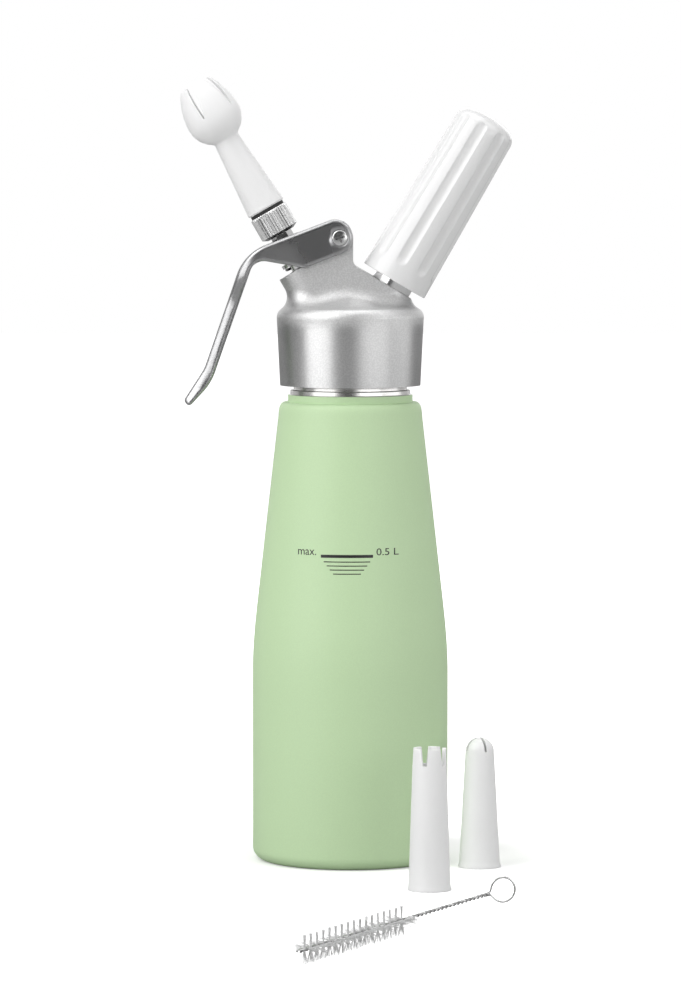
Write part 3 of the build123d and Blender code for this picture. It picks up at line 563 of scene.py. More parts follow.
@dataclass
class Workshop:
    """What every sub-assembly shares: the frame, the groups and the materials made so far."""

    frame: dict
    groups: GroupLibrary = field(default_factory=GroupLibrary)
    made: dict[str, Material] = field(default_factory=dict)

    def material(self, finish: Finish) -> Material:
        """Returns a finish's material, built on first use."""
        if finish.name not in self.made:
            self.made[finish.name] = finish.make(self.groups)
        return self.made[finish.name]

    def dress(self, finish: Finish, *nodes: str) -> None:
        """Gives CAD nodes a finish."""
        for node in nodes:
            shape = self.frame["nodes"][node]
            shape.data.materials.clear()
            shape.data.materials.append(self.material(finish))

    def piece(self, name: str, mesh: Mesh, finish: Finish, body: str,
              nodes: Sequence[str] = (), angle: float = SHARP) -> Object:
        """Puts a finished mesh into the scene.

        Args:
            name: The piece's name.
            mesh: Its mesh, in place.
            finish: Its finish.
            body: The CAD body that it rides on.
            nodes: CAD nodes that it stands for.
            angle: Sharp edges are steeper than this, in degrees.

        Returns:
            The piece.
        """
        mesh.name = name
        if not mesh.materials:
            mesh.materials.append(self.material(finish))
        mesh.shade_smooth()
        mesh.set_sharp_from_angle(angle=radians(angle))
        shape = in_scene(name, mesh)
        self.dress(finish, *nodes)
        if nodes:
            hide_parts(*nodes)
        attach(shape, body)
        log.info("%s: %d faces on %s", name, len(mesh.polygons), body)
        return shape


# ---- mesh making -------------------------------------------------------------------------
class MeshMaker:
    """Makes closed meshes from rows of points."""

    @staticmethod
    def finished(shape: bmesh.types.BMesh, place: Matrix | None = None,
                 weld: float = WELD) -> Mesh:
        """Welds a shape's doubles, turns its faces outwards and returns it as a mesh.

        Args:
            shape: The shape, which is freed.
            place: Where it goes.
            weld: Points nearer than this become one.

        Returns:
            The mesh.
        """
        bmesh.ops.remove_doubles(shape, verts=shape.verts, dist=weld)
        bmesh.ops.recalc_face_normals(shape, faces=shape.faces)
        if place is not None:
            shape.transform(place)
        mesh = bpy.data.meshes.new("shape")
        shape.to_mesh(mesh)
        shape.free()
        return mesh

    @staticmethod
    def lathe(outline: Outline, columns: int, place: Matrix | None = None) -> Mesh:
        """Turns a closed outline about Z.

        Args:
            outline: Closed outline of (radius, height) points.
            columns: Faces round the axis.
            place: Where it goes.

        Returns:
            The mesh.
        """
        shape = bmesh.new()
        rows = []
        for radius, height in outline:
            if radius < ON_AXIS:
                rows.append([shape.verts.new((0, 0, height))] * columns)
            else:
                rows.append([shape.verts.new((x, y, height))
                             for x, y in circle_points(radius, columns)])
        MeshMaker.join(shape, rows + rows[:1])
        return MeshMaker.finished(shape, place)

    @staticmethod
    def join(shape: bmesh.types.BMesh, rows: Sequence[Sequence[bmesh.types.BMVert]],
             around: bool = True) -> None:
        """Joins each row of points to the next one by faces.

        Args:
            shape: The shape that gets the faces.
            rows: The rows, all of one length.
            around: Whether each row closes into a ring.
        """
        for lower, upper in zip(rows, rows[1:]):
            for c in range(len(lower) - (not around)):
                after = (c + 1) % len(lower)
                corners = list(dict.fromkeys((lower[c], lower[after], upper[after], upper[c])))
                if len(corners) > 2:
                    shape.faces.new(corners)

    @staticmethod
    def rounded(outline: Outline, radius: float, steps: int = 3) -> Outline:
        """Rounds an outline's convex and concave corners.

        Args:
            outline: Closed outline.
            radius: Rounding, held to a third of the shorter side.
            steps: Points in each corner.

        Returns:
            The rounded outline.
        """
        result: Outline = []
        for i, here in enumerate(outline):
            to_before = Vector(outline[i - 1]) - Vector(here)
            to_after = Vector(outline[(i + 1) % len(outline)]) - Vector(here)
            bend = pi - to_before.angle(to_after, 0.0)
            if here[0] < ON_AXIS or bend < LEAST_BEND:
                result.append(here)
                continue
            reach = min(radius, to_before.length / 3, to_after.length / 3)
            start = Vector(here) + to_before.normalized() * reach
            end = Vector(here) + to_after.normalized() * reach
            for step in range(steps + 1):
                t = step / steps
                spot = start * (1 - t) ** 2 + Vector(here) * 2 * t * (1 - t) + end * t ** 2
                result.append((spot.x, spot.y))
        return result


def circle_points(radius: float, columns: int) -> Outline:
    """Returns evenly spaced points round a circle."""
    return [(radius * cos(tau * c / columns), radius * sin(tau * c / columns))
            for c in range(columns)]


def arc_points(centre: Spot, radius: float, first: float, last: float, steps: int) -> Outline:
    """Returns points along an arc in the outline's plane, angles in degrees."""
    turns = [radians(first + (last - first) * s / steps) for s in range(steps + 1)]
    return [(centre[0] + radius * cos(turn), centre[1] + radius * sin(turn)) for turn in turns]


def curve_points(start: Spot, end: Spot, leave: Spot, arrive: Spot, steps: int) -> Outline:
    """Joins two points by a smooth curve.

    Args:
        start: Its first point.
        end: Its last point.
        leave: Direction at the first point.
        arrive: Direction at the last point.
        steps: Number of runs.

    Returns:
        The points, both ends included.
    """
    chord = hypot(end[0] - start[0], end[1] - start[1])
    first = Vector(leave).normalized() * chord
    last = Vector(arrive).normalized() * chord
    result = []
    for step in range(steps + 1):
        t = step / steps
        spot = (Vector(start) * (2 * t**3 - 3 * t**2 + 1) + first * (t**3 - 2 * t**2 + t)
                + Vector(end) * (3 * t**2 - 2 * t**3) + last * (t**3 - t**2))
        result.append((spot.x, spot.y))
    return result


def circle_through(first: Spot, second: Spot, third: Spot) -> tuple[Spot, float]:
    """Returns the centre and radius of the circle through three points."""
    (ax, ay), (bx, by), (cx, cy) = first, second, third
    d = 2 * (ax * (by - cy) + bx * (cy - ay) + cx * (ay - by))
    a, b, c = ax * ax + ay * ay, bx * bx + by * by, cx * cx + cy * cy
    centre = ((a * (by - cy) + b * (cy - ay) + c * (ay - by)) / d,
              (a * (cx - bx) + b * (ax - cx) + c * (bx - ax)) / d)
    return centre, hypot(ax - centre[0], ay - centre[1])


def eased(share: float) -> float:
    """Returns a share held between 0 and 1 and smoothed at both ends."""
    share = min(max(share, 0.0), 1.0)
    return share * share * (3 - 2 * share)


def scaled(outline: Iterable[Spot]) -> Outline:
    """Returns an outline given in millimetres as metres."""
    return [(radius * MM, height * MM) for radius, height in outline]


# ---- geometry trees ----------------------------------------------------------------------
class ShapeTree(NodeGraph):
    """A geometry node tree with named inputs, built in steps and then baked to a mesh."""

    def __init__(self, name: str) -> None:
        """Starts a tree with a name."""
        super().__init__(bpy.data.node_groups.new(name, "GeometryNodeTree"))
        self.tree.interface.new_socket("Geometry", in_out="OUTPUT",
                                       socket_type="NodeSocketGeometry")
        self.entry, self.leave = self.add("NodeGroupInput"), self.add("NodeGroupOutput")
        self.values: dict[str, float] = {}

    def size(self, name: str, value: float) -> Value:
        """Adds a named size and returns it."""
        kind = "NodeSocketInt" if isinstance(value, int) else "NodeSocketFloat"
        socket = self.tree.interface.new_socket(name, in_out="INPUT", socket_type=kind)
        self.values[socket.identifier] = value
        return Value(self, self.entry.outputs[name])

    def lengths(self, **values: float) -> list[Value]:
        """Adds named sizes given in millimetres and returns them."""
        return [self.size(name.replace("_", " ").capitalize(), value * MM)
                for name, value in values.items()]

    def blank(self) -> Value:
        """Adds the input for the mesh that the tree works on and returns it."""
        self.tree.interface.new_socket("Blank", in_out="INPUT", socket_type="NodeSocketGeometry")
        return Value(self, self.entry.outputs["Blank"])

    def here(self) -> list[Value]:
        """Returns each point's X, Y and Z."""
        return self.parts(self.value("GeometryNodeInputPosition"))

    def polar(self) -> tuple[Value, Value]:
        """Returns each point's distance from the axis and its turn about it."""
        x, y, _ = self.here()
        return self.math("SQRT", x * x + y * y), self.math("ARCTAN2", y, x)

    def pressed(self, blank: Value, radius: Value, dip: Value, skin_r: object) -> Value:
        """Presses a turned blank's skin in, towards its axis.

        Args:
            blank: The blank.
            radius: Each point's distance from the axis.
            dip: How far it goes in.
            skin_r: Radius over which a point belongs to the skin.

        Returns:
            The changed geometry.
        """
        x, y, z = self.here()
        keep = 1.0 - dip / radius
        return self.value("GeometryNodeSetPosition", 0, {
            "Geometry": blank, "Selection": radius > skin_r,
            "Position": self.vector(x * keep, y * keep, z)})

    def bake(self, geometry: Value, material: Material,
             start: Mesh | None = None) -> Mesh:
        """Ends the tree in Realize Instances and Set Material and returns its plain mesh.

        Args:
            geometry: What the tree has made.
            material: The finish of its faces.
            start: The mesh that the tree works on, if it reads one.

        Returns:
            The mesh.
        """
        real = self.value("GeometryNodeRealizeInstances", 0, {"Geometry": geometry})
        self.put(self.value("GeometryNodeSetMaterial", 0,
                            {"Geometry": real, "Material": material}), self.leave.inputs[0])
        carrier = in_scene("carrier", start or bpy.data.meshes.new("start"))
        modifier = carrier.modifiers.new("shape", "NODES")
        modifier.node_group = self.tree
        for identifier, value in self.values.items():
            modifier[identifier] = value
        mesh = plain_mesh(carrier)
        if not mesh.materials:
            mesh.materials.append(material)
        return mesh


@dataclass(frozen=True)
class Thread:
    """A helical ridge on a shaft, in millimetres.

    Attributes:
        root: Radius of the shaft.
        crest: Height of the ridge.
        pitch: Rise for each turn.
        turns: Number of turns.
        foot: Height of the ridge's start.
        land: Flat top, as a share of the pitch.
        sunk: How far the section reaches into the shaft, as a share of the crest.
        run_out: Share of the ridge that fades out at each end.
        least: Scale of the section at the very end.
        resolution: Sections in each turn.
    """

    root: float
    crest: float
    pitch: float
    turns: float
    foot: float
    land: float = 0.3
    sunk: float = 0.3
    run_out: float = 0.05
    least: float = 0.02
    resolution: int = 72

    def mesh(self, material: Material, place: Matrix | None = None) -> Mesh:
        """Makes the ridge as a swept section that fades out at both ends.

        Args:
            material: The finish.
            place: Where it goes.

        Returns:
            The mesh.
        """
        tree = ShapeTree("thread_ridge")
        root, crest, pitch = tree.lengths(root_radius=self.root, crest=self.crest,
                                          pitch=self.pitch)
        turns, land = tree.size("Turns", self.turns), tree.size("Land", self.land)
        coil = tree.value("GeometryNodeCurveSpiral", 0, {
            "Resolution": self.resolution, "Rotations": turns, "Start Radius": root,
            "End Radius": root, "Height": pitch * turns})
        upright = tree.value("GeometryNodeSetCurveNormal", 0, {"Curve": coil}, mode="Z_UP")
        half = pitch * (land * 0.5)
        wide = crest * 0.5 + half
        sunk = crest * self.sunk
        corners = ((-crest, half), (-crest, -half), (sunk, -wide), (sunk, wide))
        section = tree.value("GeometryNodeCurvePrimitiveQuadrilateral", 0, {
            f"Point {number}": tree.vector(across, along, 0.0)
            for number, (across, along) in enumerate(corners, 1)}, mode="POINTS")
        share = tree.value("GeometryNodeSplineParameter", "Factor")
        away = 0.5 - tree.math("ABSOLUTE", share - 0.5)
        ridge = tree.value("GeometryNodeCurveToMesh", 0, {
            "Curve": upright, "Profile Curve": section, "Fill Caps": True,
            "Scale": tree.spread(away, 0.0, self.run_out, self.least, 1.0)})
        mesh = tree.bake(ridge, material)
        shift = Matrix.Translation((0, 0, self.foot * MM))
        mesh.transform(place @ shift if place is not None else shift)
        return mesh


# ---- studio ------------------------------------------------------------------------------
@dataclass
class SoftLight:
    """An area light aimed at a point."""

    name: str
    place: Point
    aim: Point
    width: float
    height: float
    watts: float

    def set_up(self) -> None:
        """Adds the light."""
        data = bpy.data.lights.new(self.name, "AREA")
        data.shape, data.size, data.size_y = "RECTANGLE", self.width, self.height
        data.energy = self.watts
        lamp = in_scene(self.name, data)
        lamp.location = self.place
        lamp.rotation_euler = (Vector(self.aim) - Vector(self.place)).to_track_quat(
            "-Z", "Y").to_euler()


@dataclass
class Studio:
    """A pale floor, soft lights and the camera, in metres.

    Attributes:
        camera_place: Where the camera stands.
        camera_aim_z: Height on the bottle's axis that it looks at.
        frame_height_px: Height of the frame in pixels.
        focal_px: Focal length in the same pixels.
        sensor: Height of the sensor in millimetres.
        floor_half: Half the floor's width.
        lights: The lights.
        back_range: Where reflections pass from behind to the surround, as the share of a
            direction that points to the front.
        front_range: Where they pass from the surround to dark_front, as the same share.
        surround: Strength of the surround for reflections, from the sides and the front.
        behind: The same from behind the object.
        fill: Strength of the surround for diffuse light.
        dark_front: Strength of the surround for reflections, from straight in front.
        near_lift: Glow of the floor under the object.
        far_lift: Glow of the floor away from it.
        near_edge: Distance from the axis up to which near_lift holds.
        far_edge: Distance from the axis from which far_lift holds.
    """

    camera_place: Point = (-0.00385, -1.93, 0.274)
    camera_aim_z: float = 0.142
    frame_height_px: float = 1000.0
    focal_px: float = 4911.0
    sensor: float = 36.0
    floor_half: float = 6.0
    lights: tuple[SoftLight, ...] = (
        SoftLight("key_left", (-0.98, -0.76, 0.62), (0, 0, 0.18), 1.15, 1.7, 12.3),
        SoftLight("high_left", (-0.95, -0.65, 1.45), (0, 0, 0.12), 1.0, 1.0, 5.4),
        SoftLight("high_right", (0.95, -0.45, 1.25), (0, 0, 0.22), 0.8, 0.7, 3.2),
        SoftLight("low_strip_right", (0.88, -1.1, 0.32), (0, 0, 0.22), 1.35, 0.42, 4.0),
        SoftLight("side_strip_right", (1.4, 0.0, 0.30), (0, 0, 0.22), 1.1, 0.4, 1.9),
        SoftLight("from_behind", (0.0, 1.5, 0.55), (0, 0, 0.15), 2.2, 0.7, 3.5),
        SoftLight("overhead", (0.0, 0.1, 1.5), (0, 0, 0), 1.2, 1.0, 6.5),
    )
    back_range: Spot = (-0.75, -0.1)
    front_range: Spot = (0.85, 0.965)
    surround: float = 0.45
    behind: float = 0.68
    fill: float = 0.222
    dark_front: float = 0.03
    near_lift: float = 0.30
    far_lift: float = 1.0
    near_edge: float = 0.060
    far_edge: float = 0.120

    def camera(self) -> None:
        """Adds the camera and makes it the scene's."""
        data = bpy.data.cameras.new("camera")
        data.sensor_fit = "VERTICAL"
        data.sensor_height = self.sensor
        data.lens = self.sensor * self.focal_px / self.frame_height_px
        data.clip_end = 20
        eye = in_scene("camera", data)
        eye.location = self.camera_place
        down = Vector((0, -self.camera_place[1], self.camera_aim_z - self.camera_place[2]))
        eye.rotation_euler = down.to_track_quat("-Z", "Y").to_euler()
        bpy.context.scene.camera = eye

    def floor(self) -> None:
        """Adds the pale floor."""
        half = self.floor_half
        mesh = bpy.data.meshes.new("floor")
        mesh.from_pydata([(-half, -half, 0), (half, -half, 0), (half, half, 0), (-half, half, 0)],
                         [], [(0, 1, 2, 3)])
        material = bpy.data.materials.new("pale_floor")
        graph = cleared(material)
        away = graph.value("ShaderNodeVectorMath", "Value", {0: graph.place()},
                           operation="LENGTH")
        glow = graph.spread(away, self.near_edge, self.far_edge, self.near_lift, self.far_lift)
        seen = graph.value("ShaderNodeBsdfPrincipled", 0, {
            "Base Color": FLOOR_SEEN, "Roughness": 1.0, "Specular IOR Level": 0.0,
            "Emission Color": WHITE, "Emission Strength": glow})
        bounced = graph.value("ShaderNodeBsdfDiffuse", 0, {"Color": FLOOR_BOUNCED})
        graph.add("ShaderNodeOutputMaterial", {"Surface": graph.for_camera(seen, bounced)})
        mesh.materials.append(material)
        in_scene("floor", mesh)

    def sky(self) -> None:
        """Sets a plain white surround, darker for reflections than for the camera."""
        world = bpy.data.worlds.new("surround")
        graph = cleared(world)
        towards = graph.likeness(graph.value("ShaderNodeTexCoord", "Generated"), (0.0, -1.0, 0.0))
        back = graph.spread(towards, *self.back_range, self.behind, self.surround)
        front = graph.spread(towards, *self.front_range, 1.0, self.dark_front / self.surround)
        diffuse = graph.value("ShaderNodeLightPath", "Is Diffuse Ray")
        seen, lit = (
            graph.value("ShaderNodeBackground", 0, {"Color": WHITE, "Strength": strength})
            for strength in (1.0, graph.blend(diffuse, back * front, self.fill)))
        graph.add("ShaderNodeOutputWorld", {"Surface": graph.for_camera(seen, lit)})
        bpy.context.scene.world = world

    def set_up(self) -> None:
        """Adds everything and sets plain colour handling."""
        self.camera()
        self.floor()
        self.sky()
        for light in self.lights:
            light.set_up()
        view = bpy.context.scene.view_settings
        view.view_transform = "Standard"
        view.look = "None"


# ---- sub-assemblies ----------------------------------------------------------------------
@dataclass
class Bottle:
    """The lacquered bottle, bare from its ring upwards, with the thread on its neck."""

    side_r: float = 38.5
    foot_round: float = 5.0
    straight_top: float = 74.0
    ledge: Spot = (26.2, 180.8)
    ledge_fall: float = 0.3
    ring_r: float = 24.5
    ring_top: float = 183.8
    bead_r: float = 23.6
    bead_top: float = 185.5
    neck_r: float = 22.3
    neck_bore_r: float = 20.3
    mouth_z: float = 205.0
    wall: float = 1.3
    floor: float = 2.0
    rim_round: float = 0.35
    steps: int = 10
    columns: int = 160
    neck_thread: Thread = Thread(22.3, 0.93, 4.0, 4.0, 188.2, 0.4)

    def skin(self, inset: float) -> Outline:
        """Returns the side from foot to ledge, inset from the outside, in millimetres."""
        side = self.side_r - inset
        bend = self.foot_round - inset
        foot = self.floor if inset else 0.0
        (low_r, low_z), (high_r, high_z) = CONE
        up_cone = ((low_r - high_r) / (low_z - high_z), 1)
        ledge = (self.ledge[0] - inset, self.ledge[1] - inset)
        return (arc_points((side - bend, foot + bend), bend, -90, 0, self.steps)
                + curve_points((side, self.straight_top), (low_r - inset, low_z), (0, 1),
                               up_cone, self.steps)
                + curve_points((high_r - inset, high_z), ledge, up_cone,
                               (-1, self.ledge_fall), self.steps))

    def build(self, shop: Workshop) -> None:
        """Makes the body and the neck's thread."""
        corners = [(self.ring_r, self.ledge[1]), (self.ring_r, self.ring_top),
                   (self.bead_r, self.ring_top), (self.bead_r, self.bead_top),
                   (self.neck_r, self.bead_top), (self.neck_r, self.mouth_z),
                   (self.neck_bore_r, self.mouth_z),
                   (self.neck_bore_r, self.ledge[1] - self.wall)]
        outline = ([(0, 0)] + self.skin(0) + corners + self.skin(self.wall)[::-1]
                   + [(0, self.floor)])
        rounded = MeshMaker.rounded(outline, self.rim_round)
        body = MeshMaker.lathe(scaled(rounded), self.columns)
        shop.piece("bottle_body", body, LACQUER, "bottle_body", ["bottle"])
        ridge = self.neck_thread.mesh(shop.material(LACQUER))
        shop.piece("neck_thread", ridge, LACQUER, "bottle_body")
        shop.dress(MILKY_SILICONE, "head_gasket")


@dataclass
class FillMark:
    """The printed half-litre mark: a bar, shorter lines under it and plain words beside it.

    Attributes:
        centre_x: Middle of the lines.
        lines: Height, width and thickness of the bar and the lines.
        words: Each word, its left end, its width and its height as a share of letter_h.
        word_foot: Height of the words' foot.
        letter_h: Height of a capital letter.
        skin: How far the print stands out.
        steps: Faces along a line.
    """

    centre_x: float = -1.35
    lines: tuple[Point, ...] = (
        (122.4, 20.2, 1.15), (120.25, 18.0, 0.36), (118.7, 15.7, 0.36), (117.15, 13.3, 0.36),
        (115.6, 10.8, 0.36))
    words: tuple[tuple[str, float, float, float], ...] = (
        ("max.", -20.3, 7.0, 0.78), ("0.5 L", 10.1, 8.6, 1.0))
    word_foot: float = 122.75
    letter_h: float = 2.65
    skin: float = 0.04
    steps: int = 24

    def on_bottle(self, x: float, z: float, out: float) -> Vector:
        """Returns the point of the bottle's front at x and z, moved outwards, in metres."""
        (low_r, low_z), (high_r, high_z) = CONE
        radius = low_r + (high_r - low_r) * (z - low_z) / (high_z - low_z)
        turn = asin(x / radius)
        return Vector(((radius + out) * sin(turn), -(radius + out) * cos(turn), z)) * MM

    def bars(self) -> Mesh:
        """Returns the bar and the lines as thin closed strips."""
        shape = bmesh.new()
        for z, width, height in self.lines:
            rows = []
            for out, edge in ((self.skin, -0.5), (self.skin, 0.5), (-self.skin, 0.5),
                              (-self.skin, -0.5)):
                rows.append([shape.verts.new(self.on_bottle(
                    self.centre_x + width * (s / self.steps - 0.5), z + edge * height, out))
                    for s in range(self.steps + 1)])
            MeshMaker.join(shape, rows + rows[:1], around=False)
            for end in (0, self.steps):
                shape.faces.new([row[end] for row in rows])
        return MeshMaker.finished(shape)

    def lettering(self, word: str, left: float, width: float, share: float) -> Mesh:
        """Makes one word on the bottle.

        Args:
            word: The word.
            left: Its left end.
            width: Its width.
            share: Its height as a share of letter_h.

        Returns:
            The mesh.
        """
        data = bpy.data.curves.new("word", "FONT")
        data.body = word
        data.extrude = 1.0
        data.resolution_u = 6
        mesh = plain_mesh(in_scene("word", data))
        mesh.materials.clear()
        xs = [vertex.co.x for vertex in mesh.vertices]
        tall = max(vertex.co.y for vertex in mesh.vertices)
        for vertex in mesh.vertices:
            across = (vertex.co.x - min(xs)) / (max(xs) - min(xs))
            vertex.co = self.on_bottle(left + width * across,
                                       self.word_foot + self.letter_h * share * vertex.co.y / tall,
                                       self.skin * vertex.co.z)
        shape = bmesh.new()
        shape.from_mesh(mesh)
        return MeshMaker.finished(shape)

    def build(self, shop: Workshop) -> None:
        """Prints the mark."""
        shop.piece("fill_lines", self.bars(), MARK_INK, "bottle_body")
        for number, word in enumerate(self.words, 1):
            shop.piece(f"fill_word_{number}", self.lettering(*word), MARK_INK, "bottle_body")


@dataclass
class Head:
    """The blasted casting."""

    def build(self, shop: Workshop) -> None:
        """Dresses the casting."""
        shop.dress(CASTING, "head")


@dataclass
class Lever:
    """The hand lever, softly rounded along its handle, and the pivot's domed screw.

    Attributes:
        corner: Corner over the arm and the handle, as X and Z.
        handle_l: Length from that corner to the curled tip.
        arm_slope: Slope of the arm, in degrees.
        handle_slope: Slope of the handle.
        tip_slope: Slope of the curled tip.
        shoulder: Width of the rounded shoulder along the outer edge.
        narrowing: Share of its width that the handle loses at that edge.
        full_x: X up to which the shoulder is full.
        gone_x: X from which there is none.
        facet: Edges longer than this are halved.
        passes: How often they are halved at most.
        curl_ease: Reach over which the handle eases into its curled tip.
        arm_ease: Reach over which the arm eases into the handle.
        pivot: Middle of the pivot.
        head_face: Distance of the screw's face in front of it.
        recess_turn: How far the cross is turned, in degrees.
    """

    corner: Spot = (-41.5, 239.3)
    handle_l: float = 48.0
    arm_slope: float = 21.0
    handle_slope: float = 70.8
    tip_slope: float = 57.0
    shoulder: float = 3.1
    narrowing: float = 0.12
    full_x: float = -47.0
    gone_x: float = -34.0
    facet: float = 2.2
    passes: int = 8
    curl_ease: float = 0.5
    arm_ease: float = 6.6
    pivot: Point = (-4.1, 0.0, 245.3)
    head_face: float = 12.6
    head_r: float = 3.1
    head_h: float = 1.4
    dome: float = 0.32
    rim_round: float = 0.5
    recess_half_l: float = 1.95
    recess_half_w: float = 0.36
    recess_depth: float = 0.7
    recess_soft: float = 0.2
    recess_turn: float = 18.0
    shaft_r: float = 1.5
    shaft_end: float = 3.3
    columns: int = 96
    rings: int = 34

    def face_height(self, x: float, y: float) -> float:
        """Returns the head's height at a point of its face, in millimetres."""
        out = hypot(x, y)
        height = -self.dome * (out / self.head_r) ** 2
        past_rim = max(0.0, out - (self.head_r - self.rim_round))
        height -= self.rim_round - sqrt(max(0.0, self.rim_round**2 - past_rim**2))
        across, along = min(abs(x), abs(y)), max(abs(x), abs(y))
        inside = min((self.recess_half_w - across) / self.recess_soft,
                     (self.recess_half_l - along) / self.recess_soft, 1.0)
        return height - self.recess_depth * max(0.0, inside)

    def screw(self) -> Mesh:
        """Returns the pivot's screw, its face towards -Y."""
        face = [[(x, y, self.face_height(x, y))
                 for x, y in circle_points(self.head_r * ring / self.rings, self.columns)]
                for ring in range(self.rings + 1)]
        end = self.shaft_end - self.head_face
        body = [[(x, y, height) for x, y in circle_points(out, self.columns)]
                for out, height in ((self.head_r, -self.head_h), (self.shaft_r, -self.head_h),
                                    (self.shaft_r, end), (0.0, end))]
        shape = bmesh.new()
        MeshMaker.join(shape, [[shape.verts.new((x * MM, y * MM, z * MM)) for x, y, z in row]
                               for row in face + body])
        x, _, z = self.pivot
        place = (Matrix.Translation(Vector((x, -self.head_face, z)) * MM)
                 @ Matrix.Rotation(radians(90), 4, "X")
                 @ Matrix.Rotation(radians(self.recess_turn), 4, "Z"))
        bmesh.ops.remove_doubles(shape, verts=shape.verts, dist=WELD)
        bmesh.ops.dissolve_degenerate(shape, edges=shape.edges, dist=FINE_WELD)
        return MeshMaker.finished(shape, place)

    def depth(self, x: float, z: float) -> float:
        """Returns how far a point lies inside the lever's outer edge, in millimetres."""

        def inside(spot: Spot, slope: float) -> float:
            """Returns how far the point lies inside a sloping line through a spot."""
            return (x - spot[0]) * sin(radians(slope)) - (z - spot[1]) * cos(radians(slope))

        def rounded(first: float, second: float, reach: float, sign: float) -> float:
            """Returns the lesser value for sign 1 or the greater for -1, eased over a reach."""
            near = max(reach - abs(first - second), 0.0) / reach
            return sign * (min(sign * first, sign * second) - near * near * reach / 4)

        steep = radians(self.handle_slope)
        bend = (self.corner[0] - self.handle_l * cos(steep),
                self.corner[1] - self.handle_l * sin(steep))
        handle = rounded(inside(self.corner, self.handle_slope), inside(bend, self.tip_slope),
                         self.curl_ease, -1.0)
        return rounded(inside(self.corner, self.arm_slope), handle, self.arm_ease, 1.0)

    def softened(self, blank: Mesh) -> Mesh:
        """Rounds the outer shoulder of the handle.

        Args:
            blank: The lever's solid mesh.

        Returns:
            The mesh.
        """
        shape = bmesh.new()
        shape.from_mesh(blank)
        bmesh.ops.remove_doubles(shape, verts=shape.verts, dist=CAD_WELD)
        for _ in range(self.passes):
            long = [edge for edge in shape.edges if edge.calc_length() > self.facet * MM]
            bmesh.ops.subdivide_edges(shape, edges=long, cuts=1, use_single_edge=True)
            bmesh.ops.triangulate(shape, faces=[f for f in shape.faces if len(f.verts) > 3])
        for vertex in shape.verts:
            x, z = vertex.co.x / MM, vertex.co.z / MM
            full = 1 - eased((x - self.full_x) / (self.gone_x - self.full_x))
            edge = 1 - eased(self.depth(x, z) / self.shoulder)
            vertex.co.y *= 1 - self.narrowing * full * edge
        mesh = bpy.data.meshes.new("lever")
        shape.to_mesh(mesh)
        shape.free()
        mesh.shade_smooth()
        mesh.set_sharp_from_angle(angle=radians(SHARP))
        carrier = in_scene("lever", mesh)
        carrier.modifiers.new("flat_sides", "WEIGHTED_NORMAL").keep_sharp = True
        return plain_mesh(carrier)

    def build(self, shop: Workshop) -> None:
        """Makes the lever and the screw, and dresses the sleeve."""
        lever = self.softened(shop.frame["nodes"]["lever"].data)
        shop.piece("soft_lever", lever, LEVER_METAL, "lever_body", ["lever"])
        shop.dress(SCREW_METAL, "pivot_sleeve")
        shop.piece("domed_screw", self.screw(), SCREW_METAL, "head_body", ["pivot_screw"])


@dataclass
class Valve:
    """The stem with its seals, plug and nut, and the spring that the lever presses down.

    Attributes:
        well_floor: Where the spring stands, along the valve's axis.
        pressed: Share of its height that the spring keeps when it is pressed down; not used.
    """

    well_floor: float = 31.55
    pressed: float = 0.73

    def coil(self, node: Object) -> Mesh:
        """Returns the spring's own mesh."""
        shape = bmesh.new()
        shape.from_mesh(node.data)
        return MeshMaker.finished(shape, weld=CAD_WELD)

    def build(self, shop: Workshop) -> None:
        """Dresses the valve's parts."""
        shop.dress(BRIGHT_METAL, "valve_stem", "valve_nut")
        shop.dress(BLACK_RUBBER, "stem_seal_lower", "stem_seal_upper", "valve_plug")
        coil = shop.piece("valve_coil", self.coil(shop.frame["nodes"]["valve_spring"]),
                          PLAIN_STEEL, "head_body", ["valve_spring"])
        foot = Axis.VALVE.place(self.well_floor * MM)
        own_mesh(coil)


